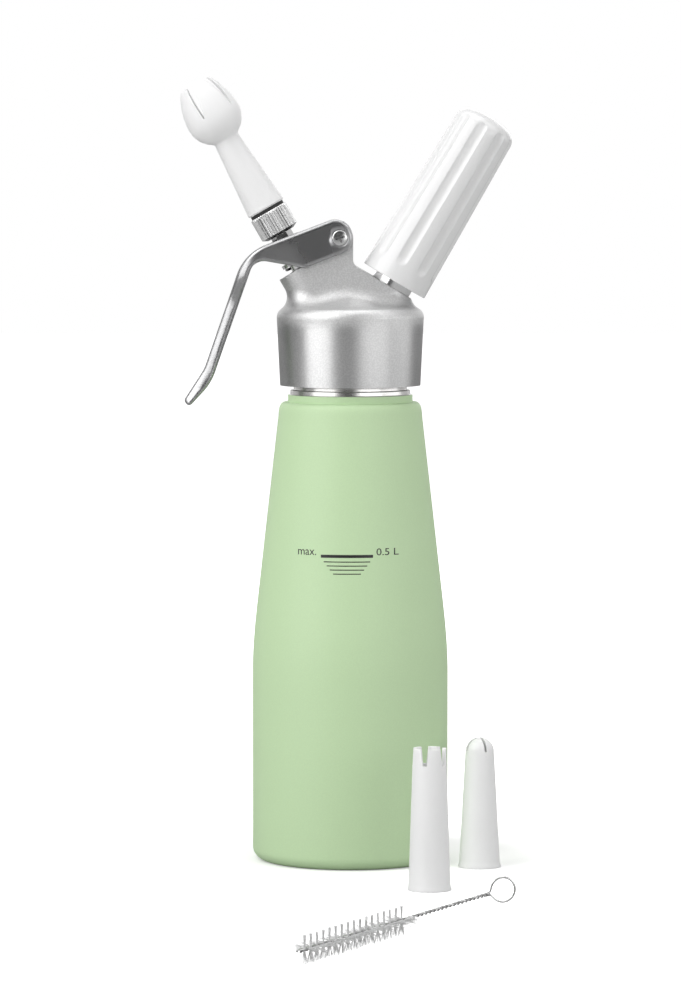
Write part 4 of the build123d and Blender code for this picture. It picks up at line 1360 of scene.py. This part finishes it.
@dataclass
class Adapter:
    """The knurled adapter with its threaded spigot, in millimetres over its foot.

    Attributes:
        station: Place of its foot on the valve's axis.
        edge: Chamfer of the knurl's upper edge.
        entry: Chamfer of the socket's mouth.
        spigot_edge: Chamfer of the spigot's end.
        rows: Faces up the knurl.
        tooth_columns: Faces across a tooth.
        groove_reach: How much of half a tooth the groove takes.
        skin: Depth of what the knurl is cut into.
    """

    station: float = 54.4
    radius: float = 7.8
    height: float = 10.1
    foot_chamfer: float = 1.1
    edge: float = 0.35
    entry: float = 0.25
    teeth: int = 44
    tooth_depth: float = 0.30
    socket_r: float = 4.2
    seat: float = 9.31
    spigot_r: float = 5.5
    spigot_top: float = 19.6
    spigot_edge: float = 0.5
    bore_r: float = 2.6
    rows: int = 14
    tooth_columns: int = 8
    groove_reach: float = 0.42
    skin: float = 0.1
    spigot_thread: Thread = Thread(5.5, 0.39, 2.0, 3.0, 13.7)

    def blank(self) -> Mesh:
        """Returns the turned adapter before its knurl is cut."""
        side_h = self.height - self.edge - self.foot_chamfer
        side = [(self.radius, self.foot_chamfer + side_h * s / self.rows)
                for s in range(self.rows + 1)]
        outline = [(self.socket_r, self.entry), (self.socket_r + self.entry, 0),
                   (self.radius - 2 * self.foot_chamfer, 0)] + side + [
            (self.radius - self.edge, self.height), (self.spigot_r, self.height),
            (self.spigot_r, self.spigot_top - self.spigot_edge),
            (self.spigot_r - self.spigot_edge, self.spigot_top),
            (self.bore_r, self.spigot_top), (self.bore_r, self.seat), (self.socket_r, self.seat)]
        return MeshMaker.lathe(scaled(outline), self.teeth * self.tooth_columns)

    def knurled(self, material: Material) -> Mesh:
        """Cuts the straight knurl into the blank and returns the mesh."""
        tree = ShapeTree("straight_knurl")
        blank = tree.blank()
        teeth = tree.size("Teeth", float(self.teeth))
        depth, outer = tree.lengths(depth=self.tooth_depth, outer_radius=self.radius)
        radius, turn = tree.polar()
        wave = tree.math("PINGPONG", turn / tau * teeth, 0.5)
        groove = tree.spread(wave, 0.0, self.groove_reach, 1.0, 0.0)
        cut = tree.pressed(blank, radius, groove * depth, outer - self.skin * MM)
        return tree.bake(cut, material, self.blank())

    def build(self, shop: Workshop) -> None:
        """Makes the adapter and its thread, and dresses both seals."""
        bright = shop.material(KNURL_METAL)
        place = Axis.VALVE.place(self.station * MM)
        mesh = self.knurled(bright)
        mesh.transform(place)
        shop.piece("knurled_adapter", mesh, KNURL_METAL, "adapter_body", ["adapter"])
        shop.piece("spigot_thread", self.spigot_thread.mesh(bright, place), KNURL_METAL,
                   "adapter_body")
        shop.dress(BLACK_RUBBER, "adapter_seal", "tip_washer")


@dataclass
class SlottedShell:
    """A turned shell whose upper part is cut by even slots, in millimetres.

    Attributes:
        outer: Outside outline from the foot up.
        inner: Inside outline, as many points as outside.
        slots: Number of slots.
        first: Place of the first slot round the axis, in degrees from the front.
        width_at: Width of a slot at a height.
        slot_foot: Height of the slots' lower ends.
        petal_columns: Faces across the wall between two slots.
        gap_columns: Faces across a slot, below its foot.
        edge_round: Rounding of every edge.
        widest: The most that a slot takes of its share of the circle.
        edge_bend: Edges that bend by more than this are rounded, in degrees.
    """

    outer: Outline
    inner: Outline
    slots: int
    first: float
    width_at: Callable[[float], float]
    slot_foot: float
    petal_columns: int = 14
    gap_columns: int = 2
    edge_round: float = 0.2
    widest: float = 0.985
    edge_bend: float = 50.0

    def angles(self, radius: float, height: float) -> list[float]:
        """Returns the turn of every column at one radius and height."""
        half = self.width_at(max(height, self.slot_foot)) / 2
        gap = asin(min(half / radius, sin(pi / self.slots) * self.widest))
        result = []
        for slot in range(self.slots):
            middle = radians(self.first - 90) + tau / self.slots * slot
            after = middle + tau / self.slots
            result += [middle - gap + 2 * gap * c / self.gap_columns
                       for c in range(self.gap_columns)]
            result += [middle + gap + (after - middle - 2 * gap) * c / self.petal_columns
                       for c in range(self.petal_columns)]
        return result

    def mesh(self, place: Matrix) -> Mesh:
        """Makes the shell.

        Args:
            place: Where it goes.

        Returns:
            The mesh.
        """
        shape = bmesh.new()
        outside, inside = (
            [[shape.verts.new((radius * MM * cos(a), radius * MM * sin(a), height * MM))
              for a in self.angles(radius, height)] for radius, height in outline]
            for outline in (self.outer, self.inner))
        columns, top = len(outside[0]), len(self.outer) - 1
        block = self.gap_columns + self.petal_columns
        foot_row = next(i for i, (_, z) in enumerate(self.outer) if z >= self.slot_foot - ON_AXIS)

        def solid(row: int, column: int) -> bool:
            """Whether there is wall between this row and the next, at this column."""
            return 0 <= row < top and (row < foot_row or column % block >= self.gap_columns)

        for row, column in product(range(top), range(columns)):
            if not solid(row, column):
                continue
            after, before = (column + 1) % columns, (column - 1) % columns
            corners = [(row, column), (row, after), (row + 1, after), (row + 1, column)]
            first, second, third, fourth = corners
            shape.faces.new([outside[r][c] for r, c in corners])
            shape.faces.new([inside[r][c] for r, c in reversed(corners)])
            for (r, c), (r2, c2), beside in ((fourth, first, (row, before)),
                                             (second, third, (row, after)),
                                             (third, fourth, (row + 1, column)),
                                             (first, second, (row - 1, column))):
                if not solid(*beside):
                    shape.faces.new((outside[r2][c2], outside[r][c], inside[r][c], inside[r2][c2]))
        loose = [vertex for vertex in shape.verts if not vertex.link_faces]
        bmesh.ops.delete(shape, geom=loose, context="VERTS")
        bmesh.ops.recalc_face_normals(shape, faces=shape.faces)
        sharp = [edge for edge in shape.edges if len(edge.link_faces) == 2
                 and edge.calc_face_angle(0) > radians(self.edge_bend)]
        bmesh.ops.bevel(shape, geom=sharp, offset=self.edge_round * MM, segments=2, profile=0.6,
                        affect="EDGES", clamp_overlap=True)
        return MeshMaker.finished(shape, place, FINE_WELD)


@dataclass
class TulipTip:
    """The tulip tip: a tapered neck on a socket, and a slotted bulb with an open mouth."""

    station: float = 65.9
    foot_r: float = 7.8
    bevel: float = 0.5
    neck_r: float = 5.1
    crease_drop: float = 1.0
    throat_turn: float = 15.0
    bulb_r: float = 11.0
    bulb_z: float = 41.2
    under_r: float = 10.7
    mouth_r: float = 6.6
    height: float = 56.0
    wall: float = 1.3
    socket_r: float = 6.15
    slots: int = 5
    slot_w: float = 3.7
    slot_h: float = 13.8
    slot_foot_w: float = 0.5
    first: float = -18.0
    rows: int = 14
    root_steps: int = 7
    socket_rows: tuple[float, ...] = (5.0, 10.0)
    neck_rows: tuple[float, ...] = (10.01, 18.0, 25.0)
    sharp: float = 16.0

    def width_at(self, height: float) -> float:
        """Returns the width of a slot at a height."""
        share = (height - self.height + self.slot_h) / self.slot_h
        return self.slot_foot_w + (self.slot_w - self.slot_foot_w) * max(0.0, share)

    def side(self, inset: float) -> Outline:
        """Returns the neck and bulb, inset from the outside."""
        drop = self.neck_r + self.under_r - self.bulb_r
        waist = sqrt(self.under_r**2 - drop**2)
        neck = (self.neck_r - inset, self.bulb_z - waist)
        centre = (self.bulb_r - self.under_r, self.bulb_z)
        start = -degrees(asin(waist / self.under_r))
        turned = start + self.throat_turn
        under = arc_points(centre, self.under_r - inset, turned, 0, self.rows)
        lean = (self.neck_r - self.foot_r) / neck[1]
        low = (neck[0] - lean * self.crease_drop, neck[1] - self.crease_drop)
        way = (-sin(radians(turned)), cos(radians(turned)))
        root = curve_points(low, under[0], (-0.5, 1), way, self.root_steps)
        return root + under[1:] + self.upper(inset)

    def upper(self, inset: float) -> Outline:
        """Returns the bulb over its widest place, with a row at the slots' foot."""
        drop = (self.bulb_r - self.mouth_r) / 4
        first, last = (self.bulb_r, self.bulb_z), (self.mouth_r, self.height)
        middle = (self.bulb_r - drop, (self.bulb_z + self.height) / 2)
        centre, radius = circle_through(first, middle, last)
        foot = self.height - self.slot_h
        rows = [foot + (self.height - foot) * s / self.rows for s in range(self.rows + 1)]
        return [(centre[0] + sqrt(radius**2 - (z - centre[1])**2) - inset, z) for z in rows]

    def build(self, shop: Workshop) -> None:
        """Makes the tip."""
        neck = self.side(0)
        lean = (neck[0][0] - self.foot_r) / (neck[0][1] - self.bevel)
        outer = [(self.foot_r - self.bevel, 0.0), (self.foot_r, self.bevel)]
        outer += [(self.foot_r + lean * (z - self.bevel), z)
                  for z in self.socket_rows + self.neck_rows]
        inner = [(self.socket_r, z) for z in (0.0, self.bevel) + self.socket_rows]
        inner += [(self.foot_r + lean * z - self.wall, z) for z in self.neck_rows]
        shell = SlottedShell(outer + neck, inner + self.side(self.wall), self.slots, self.first,
                             self.width_at, self.height - self.slot_h)
        mesh = shell.mesh(Axis.VALVE.place(self.station * MM))
        shop.piece("tulip_shell", mesh, SATIN_WHITE, "tulip_body", ["tulip_tip"],
                   angle=self.sharp)


@dataclass
class SpareTips:
    """The castellated tip and the round-ended tip that stand in front.

    Attributes:
        wall: Thickness of the wall over the socket.
        flare: How much wider than the body the foot still is at flare_h.
        ledge: Height in which the bore passes from socket to wall.
        row_gap: Distance to the row that keeps an edge crisp.
        star_notch_w: Width of a notch at its foot and at the top.
        star_first: Place of the first notch round the axis, in degrees from the front.
        crown_slot: Width left round the dome's top, in slot widths.
    """

    foot_r: float = 8.4
    foot_h: float = 2.6
    body_r: float = 7.9
    wall: float = 1.3
    socket_r: float = 6.15
    socket_h: float = 12.0
    star_place: Point = (29.8, -86.0, 0.0)
    star_h: float = 54.0
    star_r: float = 6.3
    star_notches: int = 5
    star_notch_h: float = 6.4
    star_notch_w: Spot = (1.7, 3.1)
    star_first: float = -18.0
    round_place: Point = (50.5, -24.0, 0.0)
    round_h: float = 50.9
    round_r: float = 5.6
    round_slots: int = 4
    round_slot_w: float = 1.1
    round_slot_h: float = 5.4
    round_first: float = -65.0
    foot_edge: float = 0.35
    foot_inset: float = 0.05
    flare: float = 0.12
    flare_h: float = 1.56
    socket_entry: float = 0.3
    ledge: float = 0.01
    shaft_rows: tuple[float, ...] = (20, 30)
    star_row: float = 40
    notch_rows: int = 4
    row_gap: float = 0.6
    dome_steps: int = 12
    star_edge: float = 0.55
    star_columns: int = 8
    round_edge: float = 0.15
    round_columns: int = 10
    crown_slot: float = 1.05

    def sides(self, top_r: float, heights: Sequence[float]) -> tuple[Outline, Outline]:
        """Makes the straight part's outlines.

        Args:
            top_r: Outer radius at the last height.
            heights: Heights of the rows over the socket, the last one the top.

        Returns:
            The outer and the inner outline.
        """
        top = heights[-1]

        def outer_r(z: float) -> float:
            """Returns the outer radius at a height over the flared foot."""
            return self.body_r + (top_r - self.body_r) * (z - self.foot_h) / (top - self.foot_h)

        outer = [(self.foot_r - self.foot_inset, 0.0), (self.foot_r, self.foot_edge),
                 (self.body_r + self.flare, self.flare_h)]
        outer += [(outer_r(z), z)
                  for z in (self.foot_h, self.socket_h, self.socket_h + self.ledge)]
        inner = [(self.socket_r + self.socket_entry, 0.0)]
        inner += [(self.socket_r, z) for z in (self.foot_edge, self.flare_h, self.foot_h,
                                               self.socket_h - self.ledge)]
        inner.append((outer_r(self.socket_h) - self.wall, self.socket_h))
        outer += [(outer_r(z), z) for z in heights]
        inner += [(outer_r(z) - self.wall, z) for z in heights]
        return outer, inner

    def star(self) -> Mesh:
        """Returns the castellated tip."""
        foot = self.star_h - self.star_notch_h
        rows = [foot + self.star_notch_h * s / self.notch_rows for s in range(self.notch_rows + 1)]
        outer, inner = self.sides(self.star_r, [*self.shaft_rows, self.star_row,
                                                foot - self.row_gap, *rows])
        narrow, wide = self.star_notch_w
        shell = SlottedShell(
            outer, inner, self.star_notches, self.star_first,
            lambda z: narrow + (wide - narrow) * max(0.0, z - foot) / self.star_notch_h, foot,
            petal_columns=self.star_columns, edge_round=self.star_edge)
        return shell.mesh(Matrix.Translation(Vector(self.star_place) * MM))

    def rounded(self) -> Mesh:
        """Returns the round-ended tip."""
        dome_z = self.round_h - self.round_r
        foot = self.round_h - self.round_slot_h
        outer, inner = self.sides(self.round_r,
                                  [*self.shaft_rows, dome_z - self.row_gap, dome_z])
        for rows, radius in ((outer, self.round_r), (inner, self.round_r - self.wall)):
            first = degrees(asin((foot - dome_z) / radius))
            last = degrees(acos(self.crown_slot * self.round_slot_w / radius))
            rows += arc_points((0, dome_z), radius, first, last, self.dome_steps)
        shell = SlottedShell(outer, inner, self.round_slots, self.round_first,
                             lambda z: self.round_slot_w, foot,
                             petal_columns=self.round_columns, edge_round=self.round_edge)
        return shell.mesh(Matrix.Translation(Vector(self.round_place) * MM))

    def build(self, shop: Workshop) -> None:
        """Makes both tips."""
        shop.piece("star_shell", self.star(), SATIN_WHITE, "star_tip_body", ["star_tip"])
        shop.piece("round_shell", self.rounded(), SATIN_WHITE, "round_tip_body", ["round_tip"])


@dataclass
class ChargerInlet:
    """The threaded stud in the head, with the pin, gasket and flap inside it."""

    shank_foot: float = 21.7
    shank_r: float = 5.0
    neck_foot: float = 30.9
    neck_r: float = 8.2
    neck_top: float = 34.6
    root_r: float = 9.4
    top: float = 43.6
    cup_r: float = 4.8
    cup_floor: float = 36.2
    pin_r: float = 1.25
    edge_round: float = 0.25
    columns: int = 96
    stud_thread: Thread = Thread(9.4, 0.59, 2.0, 4.0, 35.4)

    def build(self, shop: Workshop) -> None:
        """Makes the stud with its thread and dresses what it holds."""
        outline = [(self.pin_r, self.shank_foot), (self.shank_r, self.shank_foot),
                   (self.shank_r, self.neck_foot), (self.neck_r, self.neck_foot),
                   (self.neck_r, self.neck_top), (self.root_r, self.neck_top),
                   (self.root_r, self.top), (self.cup_r, self.top), (self.cup_r, self.cup_floor),
                   (self.pin_r, self.cup_floor)]
        place = Axis.CHARGER.place(0.0)
        rounded = MeshMaker.rounded(outline, self.edge_round)
        mesh = MeshMaker.lathe(scaled(rounded), self.columns, place)
        shop.piece("inlet_body", mesh, BRIGHT_METAL, "head_body", ["inlet_stud"])
        ridge = self.stud_thread.mesh(shop.material(BRIGHT_METAL), place)
        shop.piece("inlet_thread", ridge, BRIGHT_METAL, "head_body")
        shop.dress(MILKY_SILICONE, "charger_gasket", "check_flap")
        shop.dress(PLAIN_STEEL, "piercing_pin")


@dataclass
class ChargerHolder:
    """The fluted sleeve and the charger in it, in millimetres over the sleeve's foot.

    Attributes:
        station: Place of its foot on the charger's axis.
        rim: Where the shoulder passes into the crown.
        rim_fall: How steeply the shoulder is turned there.
        first: Place of the first flute round the axis, in degrees from the front.
        flute_soft: Reach over which a flute's edge is eased.
        skin_r: Radius over which the flutes are cut.
        foot_profile: The rounded foot, as radii over foot_r and heights.
        mouth_edge: Chamfer of the bore's mouth.
        rows: Faces up the side.
        flute_columns: Faces for each flute.
    """

    station: float = 33.6
    foot_r: float = 13.8
    top_r: float = 12.5
    side_top: float = 68.4
    rim: Spot = (9.3, 72.8)
    rim_fall: float = 0.42
    crown: float = 74.3
    bore_r: float = 9.5
    bore_top: float = 69.15
    mouth_r: float = 10.25
    mouth_l: float = 11.5
    flutes: int = 9
    flute_r: float = 3.2
    flute_depth: float = 0.95
    flute_low: float = 9.4
    flute_high: float = 68.6
    flute_soft: float = 0.2
    first: float = -6.6
    skin_r: float = 10.9
    foot_profile: tuple[Spot, ...] = ((-0.35, 0), (-0.1, 0.12), (-0.01, 0.4))
    mouth_edge: float = 0.3
    rows: int = 74
    shoulder_steps: int = 9
    crown_steps: int = 7
    bore_steps: int = 8
    flute_columns: int = 40

    def blank(self) -> Mesh:
        """Returns the sleeve before its flutes are cut."""
        lean = (self.top_r - self.foot_r, self.side_top)
        side = [(self.foot_r + lean[0] * s / self.rows, lean[1] * s / self.rows)
                for s in range(self.rows + 1)]
        rim_way = (-1, self.rim_fall)
        round_over = curve_points(side[-1], self.rim, lean, rim_way, self.shoulder_steps)[1:]
        crown = curve_points(self.rim, (0, self.crown), rim_way, (-1, 0), self.crown_steps)[1:]
        end = arc_points((0, self.bore_top - self.bore_r), self.bore_r, 90, 0, self.bore_steps)
        inside = [(self.bore_r, self.mouth_l), (self.mouth_r, self.mouth_l),
                  (self.mouth_r, self.mouth_edge), (self.mouth_r + self.mouth_edge, 0)]
        foot = [(self.foot_r + out, z) for out, z in self.foot_profile]
        outline = foot + side[1:] + round_over + crown + end + inside
        return MeshMaker.lathe(scaled(outline), self.flutes * self.flute_columns)

    def fluted(self, material: Material) -> Mesh:
        """Cuts the flutes into the blank and returns the mesh."""
        tree = ShapeTree("soft_flutes")
        blank = tree.blank()
        count = tree.size("Flutes", float(self.flutes))
        first = tree.size("First flute", radians(self.first - 90))
        section, depth, low, high, soft = tree.lengths(
            flute_radius=self.flute_r, depth=self.flute_depth, lower_end=self.flute_low,
            upper_end=self.flute_high, soft_edge=self.flute_soft)
        z = tree.here()[2]
        radius, turn = tree.polar()
        half_step = pi / count
        across = tree.math("WRAP", turn - first, half_step, -half_step) * radius
        past = tree.greatest(low - z, z - high, 0.0)
        left = section * section - (across * across + past * past)
        arc = tree.math("SQRT", tree.greatest(left, 0.0)) - (section - depth)
        dip = tree.math("SMOOTH_MAX", arc, 0.0, soft)
        cut = tree.pressed(blank, radius, dip, self.skin_r * MM)
        return tree.bake(cut, material, self.blank())

    def build(self, shop: Workshop) -> None:
        """Makes the sleeve and dresses the charger."""
        mesh = self.fluted(shop.material(GLOSS_WHITE))
        mesh.transform(Axis.CHARGER.place(self.station * MM))
        shop.piece("fluted_sleeve", mesh, GLOSS_WHITE, "holder_body", ["charger_holder"])
        shop.dress(PLAIN_STEEL, "gas_charger")


@dataclass
class CleaningBrush:
    """The twisted-wire brush that lies in front, in millimetres along its shaft.

    Attributes:
        tip: The shaft's bristled end.
        turn: Way that the shaft points in, in degrees.
        bristle_part: Length of the shaft's part with the loose pitch.
        ring_gap: Distance from the shaft's end to the ring.
        ring_inset: How much smaller the wire's middle line is than the ring.
        ring_lead: The way from the shaft to the ring, as distances along and across.
        ring_arc: First and last place round the ring and the step, in degrees.
        ring_turn: Turn of the ring's plane about the upright, in degrees.
        ring_rise: How far the ring leaves the floor, in degrees.
        tufts: Number of tufts.
        per_tuft: Bristles in each of them.
        splay: How far a tuft's bristles spread, in radians.
        flat: Share of the splay that a tuft pointing upwards loses.
        scatter: How far a bristle stands from its tuft's middle.
        comb: How much a bristle leans back for its scatter.
        taper: Width of a bristle's end, as a share of its foot.
        shortest: Length of the shortest bristle, as a share of the longest.
    """

    tip: Point = (-18.4, -267.3, 5.6)
    turn: float = 62.6
    shaft_l: float = 151.4
    wire_r: float = 0.39
    wire_rows: int = 640
    wire_columns: int = 10
    bristle_part: float = 83.5
    loose_pitch: float = 9.3
    tight_pitch: float = 6.6
    ring_r: float = 4.75
    ring_gap: float = 0.35
    ring_inset: float = 0.15
    ring_lead: tuple[Spot, ...] = ((-2.5, 0.3), (-0.6, 0.42), (0.35, 0.8))
    ring_arc: tuple[int, int, int] = (28, 333, 14)
    ring_turn: float = -50.0
    ring_rise: float = 15.0
    bristle_r: float = 5.55
    bristle_from: float = 3.7
    bristle_to: float = 82.3
    bristle_thick: float = 0.075
    tufts: int = 34
    per_tuft: int = 84
    splay: float = 0.34
    flat: float = 0.65
    scatter: float = 0.6
    comb: float = 0.7
    taper: float = 0.45
    shortest: float = 0.86
    seed: int = 7

    def place(self) -> Matrix:
        """Returns the matrix that puts the brush's X along its shaft."""
        return (Matrix.Translation(Vector(self.tip) * MM)
                @ Matrix.Rotation(radians(self.turn), 4, "Z"))

    def twist(self, tree: ShapeTree, along: Value) -> Value:
        """Returns how far the strands have turned at a distance along the shaft.

        Args:
            tree: The tree that it is added to.
            along: The distance, in metres.

        Returns:
            The turn in radians.
        """
        part, loose, tight = tree.lengths(
            bristled_length=self.bristle_part, loose_pitch=self.loose_pitch,
            tight_pitch=self.tight_pitch)
        first = tree.math("MINIMUM", along, part) / loose
        return (first + tree.greatest(along - part, 0.0) / tight) * tau

    def strands(self, material: Material) -> Mesh:
        """Makes the two twisted strands.

        Args:
            material: The finish.

        Returns:
            The mesh, along X.
        """
        tree = ShapeTree("twisted_strands")
        length, wire = tree.lengths(length=self.shaft_l, wire=self.wire_r)
        line = tree.value("GeometryNodeCurvePrimitiveLine", 0,
                          {"End": tree.vector(length, 0.0, 0.0)})
        fine = tree.value("GeometryNodeResampleCurve", 0, {"Curve": line, "Count": self.wire_rows})
        section = tree.value("GeometryNodeCurvePrimitiveCircle", 0,
                             {"Resolution": self.wire_columns, "Radius": wire})
        x = tree.here()[0]
        turn = self.twist(tree, x)
        both = tree.add("GeometryNodeJoinGeometry")
        for side in (0.0, pi):
            angle = turn + side
            spot = tree.vector(x, *(tree.math(way, angle) * wire for way in ("COSINE", "SINE")))
            coil = tree.value("GeometryNodeSetPosition", 0, {"Geometry": fine, "Position": spot})
            tree.put(tree.value("GeometryNodeCurveToMesh", 0, {
                "Curve": coil, "Profile Curve": section, "Fill Caps": True}), both.inputs[0])
        return tree.bake(Value(tree, both.outputs[0]), material)

    def ring(self) -> Mesh:
        """Returns the ring that the strands open into, along X from the shaft's end."""
        centre, radius = self.ring_r + self.ring_gap, self.ring_r - self.ring_inset
        loop = [(centre - radius * cos(radians(a)), radius * sin(radians(a)))
                for a in range(*self.ring_arc)]
        path = [*self.ring_lead, *loop, *((u, -v) for u, v in reversed(self.ring_lead))]
        data = bpy.data.curves.new("ring", "CURVE")
        data.dimensions = "3D"
        data.bevel_depth = self.wire_r * MM
        data.bevel_resolution = 3
        data.use_fill_caps = True
        data.resolution_u = 4
        spline = data.splines.new("NURBS")
        spline.points.add(len(path) - 1)
        for point, (u, v) in zip(spline.points, path):
            point.co = (u * MM, 0, v * MM, 1)
        spline.order_u = 3
        spline.use_endpoint_u = True
        mesh = plain_mesh(in_scene("ring", data))
        mesh.transform(Matrix.Translation((self.shaft_l * MM, 0, 0))
                       @ Matrix.Rotation(radians(self.ring_turn), 4, "Z")
                       @ Matrix.Rotation(radians(-self.ring_rise), 4, "Y"))
        return mesh

    def bristle_sheet(self, material: Material) -> Mesh:
        """Makes the bristles, held between the strands.

        Args:
            material: The finish.

        Returns:
            The mesh, along X.
        """
        tree = ShapeTree("bristle_tufts")
        low, high, reach, thick = tree.lengths(start=self.bristle_from, end=self.bristle_to,
                                               reach=self.bristle_r, thickness=self.bristle_thick)
        tufts, each = tree.size("Tufts", self.tufts), tree.size("Bristles in a tuft", self.per_tuft)
        splay, seed = tree.size("Splay", self.splay), tree.size("Seed", self.seed)
        number = tree.value("GeometryNodeInputIndex")

        def chance(least: float, most: float, shift: int) -> Value:
            """Returns a random value for each bristle."""
            return tree.value("FunctionNodeRandomValue", 1, {
                2: least, 3: most, "ID": number, "Seed": seed + float(shift)},
                data_type="FLOAT")

        tuft = tree.math("FLOOR", (number + 0.5) / each)
        along = (tuft + 0.5) / tufts * (high - low) + low
        beside = chance(-self.scatter * MM, self.scatter * MM, 4)
        points = tree.value("GeometryNodePoints", 0, {
            "Count": tufts * each, "Position": tree.vector(along + beside, 0.0, 0.0)})
        aimed = (tuft + 1.0) * (pi / 2) + tree.math("MODULO", number, 2.0) * pi
        upward = tree.greatest(tree.math("SINE", aimed), 0.0)
        turn = chance(-1.0, 1.0, 1) * (splay * (1.0 - upward * self.flat)) + aimed
        lean = beside / reach * -self.comb
        aim = tree.vector(*(tree.math(way, angle) for way, angle in (
            ("SINE", lean), ("COSINE", turn), ("SINE", turn))))
        facing = tree.value("FunctionNodeAlignRotationToVector", 0, {"Vector": aim}, axis="Z")
        hair = tree.value("GeometryNodeMeshCone", 0, {
            "Vertices": 4, "Radius Top": thick * self.taper, "Radius Bottom": thick,
            "Depth": reach}, fill_type="NGON")
        placed = tree.value("GeometryNodeInstanceOnPoints", 0, {
            "Points": points, "Instance": hair, "Rotation": facing,
            "Scale": tree.vector(1.0, 1.0, chance(self.shortest, 1.0, 3))})
        return tree.bake(placed, material)

    def build(self, shop: Workshop) -> None:
        """Makes the brush's wire and bristles."""
        strands = self.strands(shop.material(BRUSH_STEEL))
        hair = self.bristle_sheet(shop.material(CLEAR_NYLON))
        for name, mesh, finish, nodes in (
                ("brush_strands", strands, BRUSH_STEEL, ["brush_wire"]),
                ("brush_ring", self.ring(), BRUSH_STEEL, []),
                ("brush_hair", hair, CLEAR_NYLON, ["brush_bristles"])):
            mesh.transform(self.place())
            shop.piece(name, mesh, finish, "brush_body", nodes)


def main() -> None:
    """Loads the frame and builds every sub-assembly in order."""
    logging.basicConfig(level=logging.INFO, format="%(name)s %(message)s")
    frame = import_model()
    Studio().set_up()
    shop = Workshop(frame)
    for assembly in (Bottle(), FillMark(), Head(), Lever(), Valve(), Adapter(), TulipTip(),
                     ChargerInlet(), ChargerHolder(), SpareTips(), CleaningBrush()):
        assembly.build(shop)
        log.info("%s built", type(assembly).__name__)


if __name__ == "__main__":
    main()
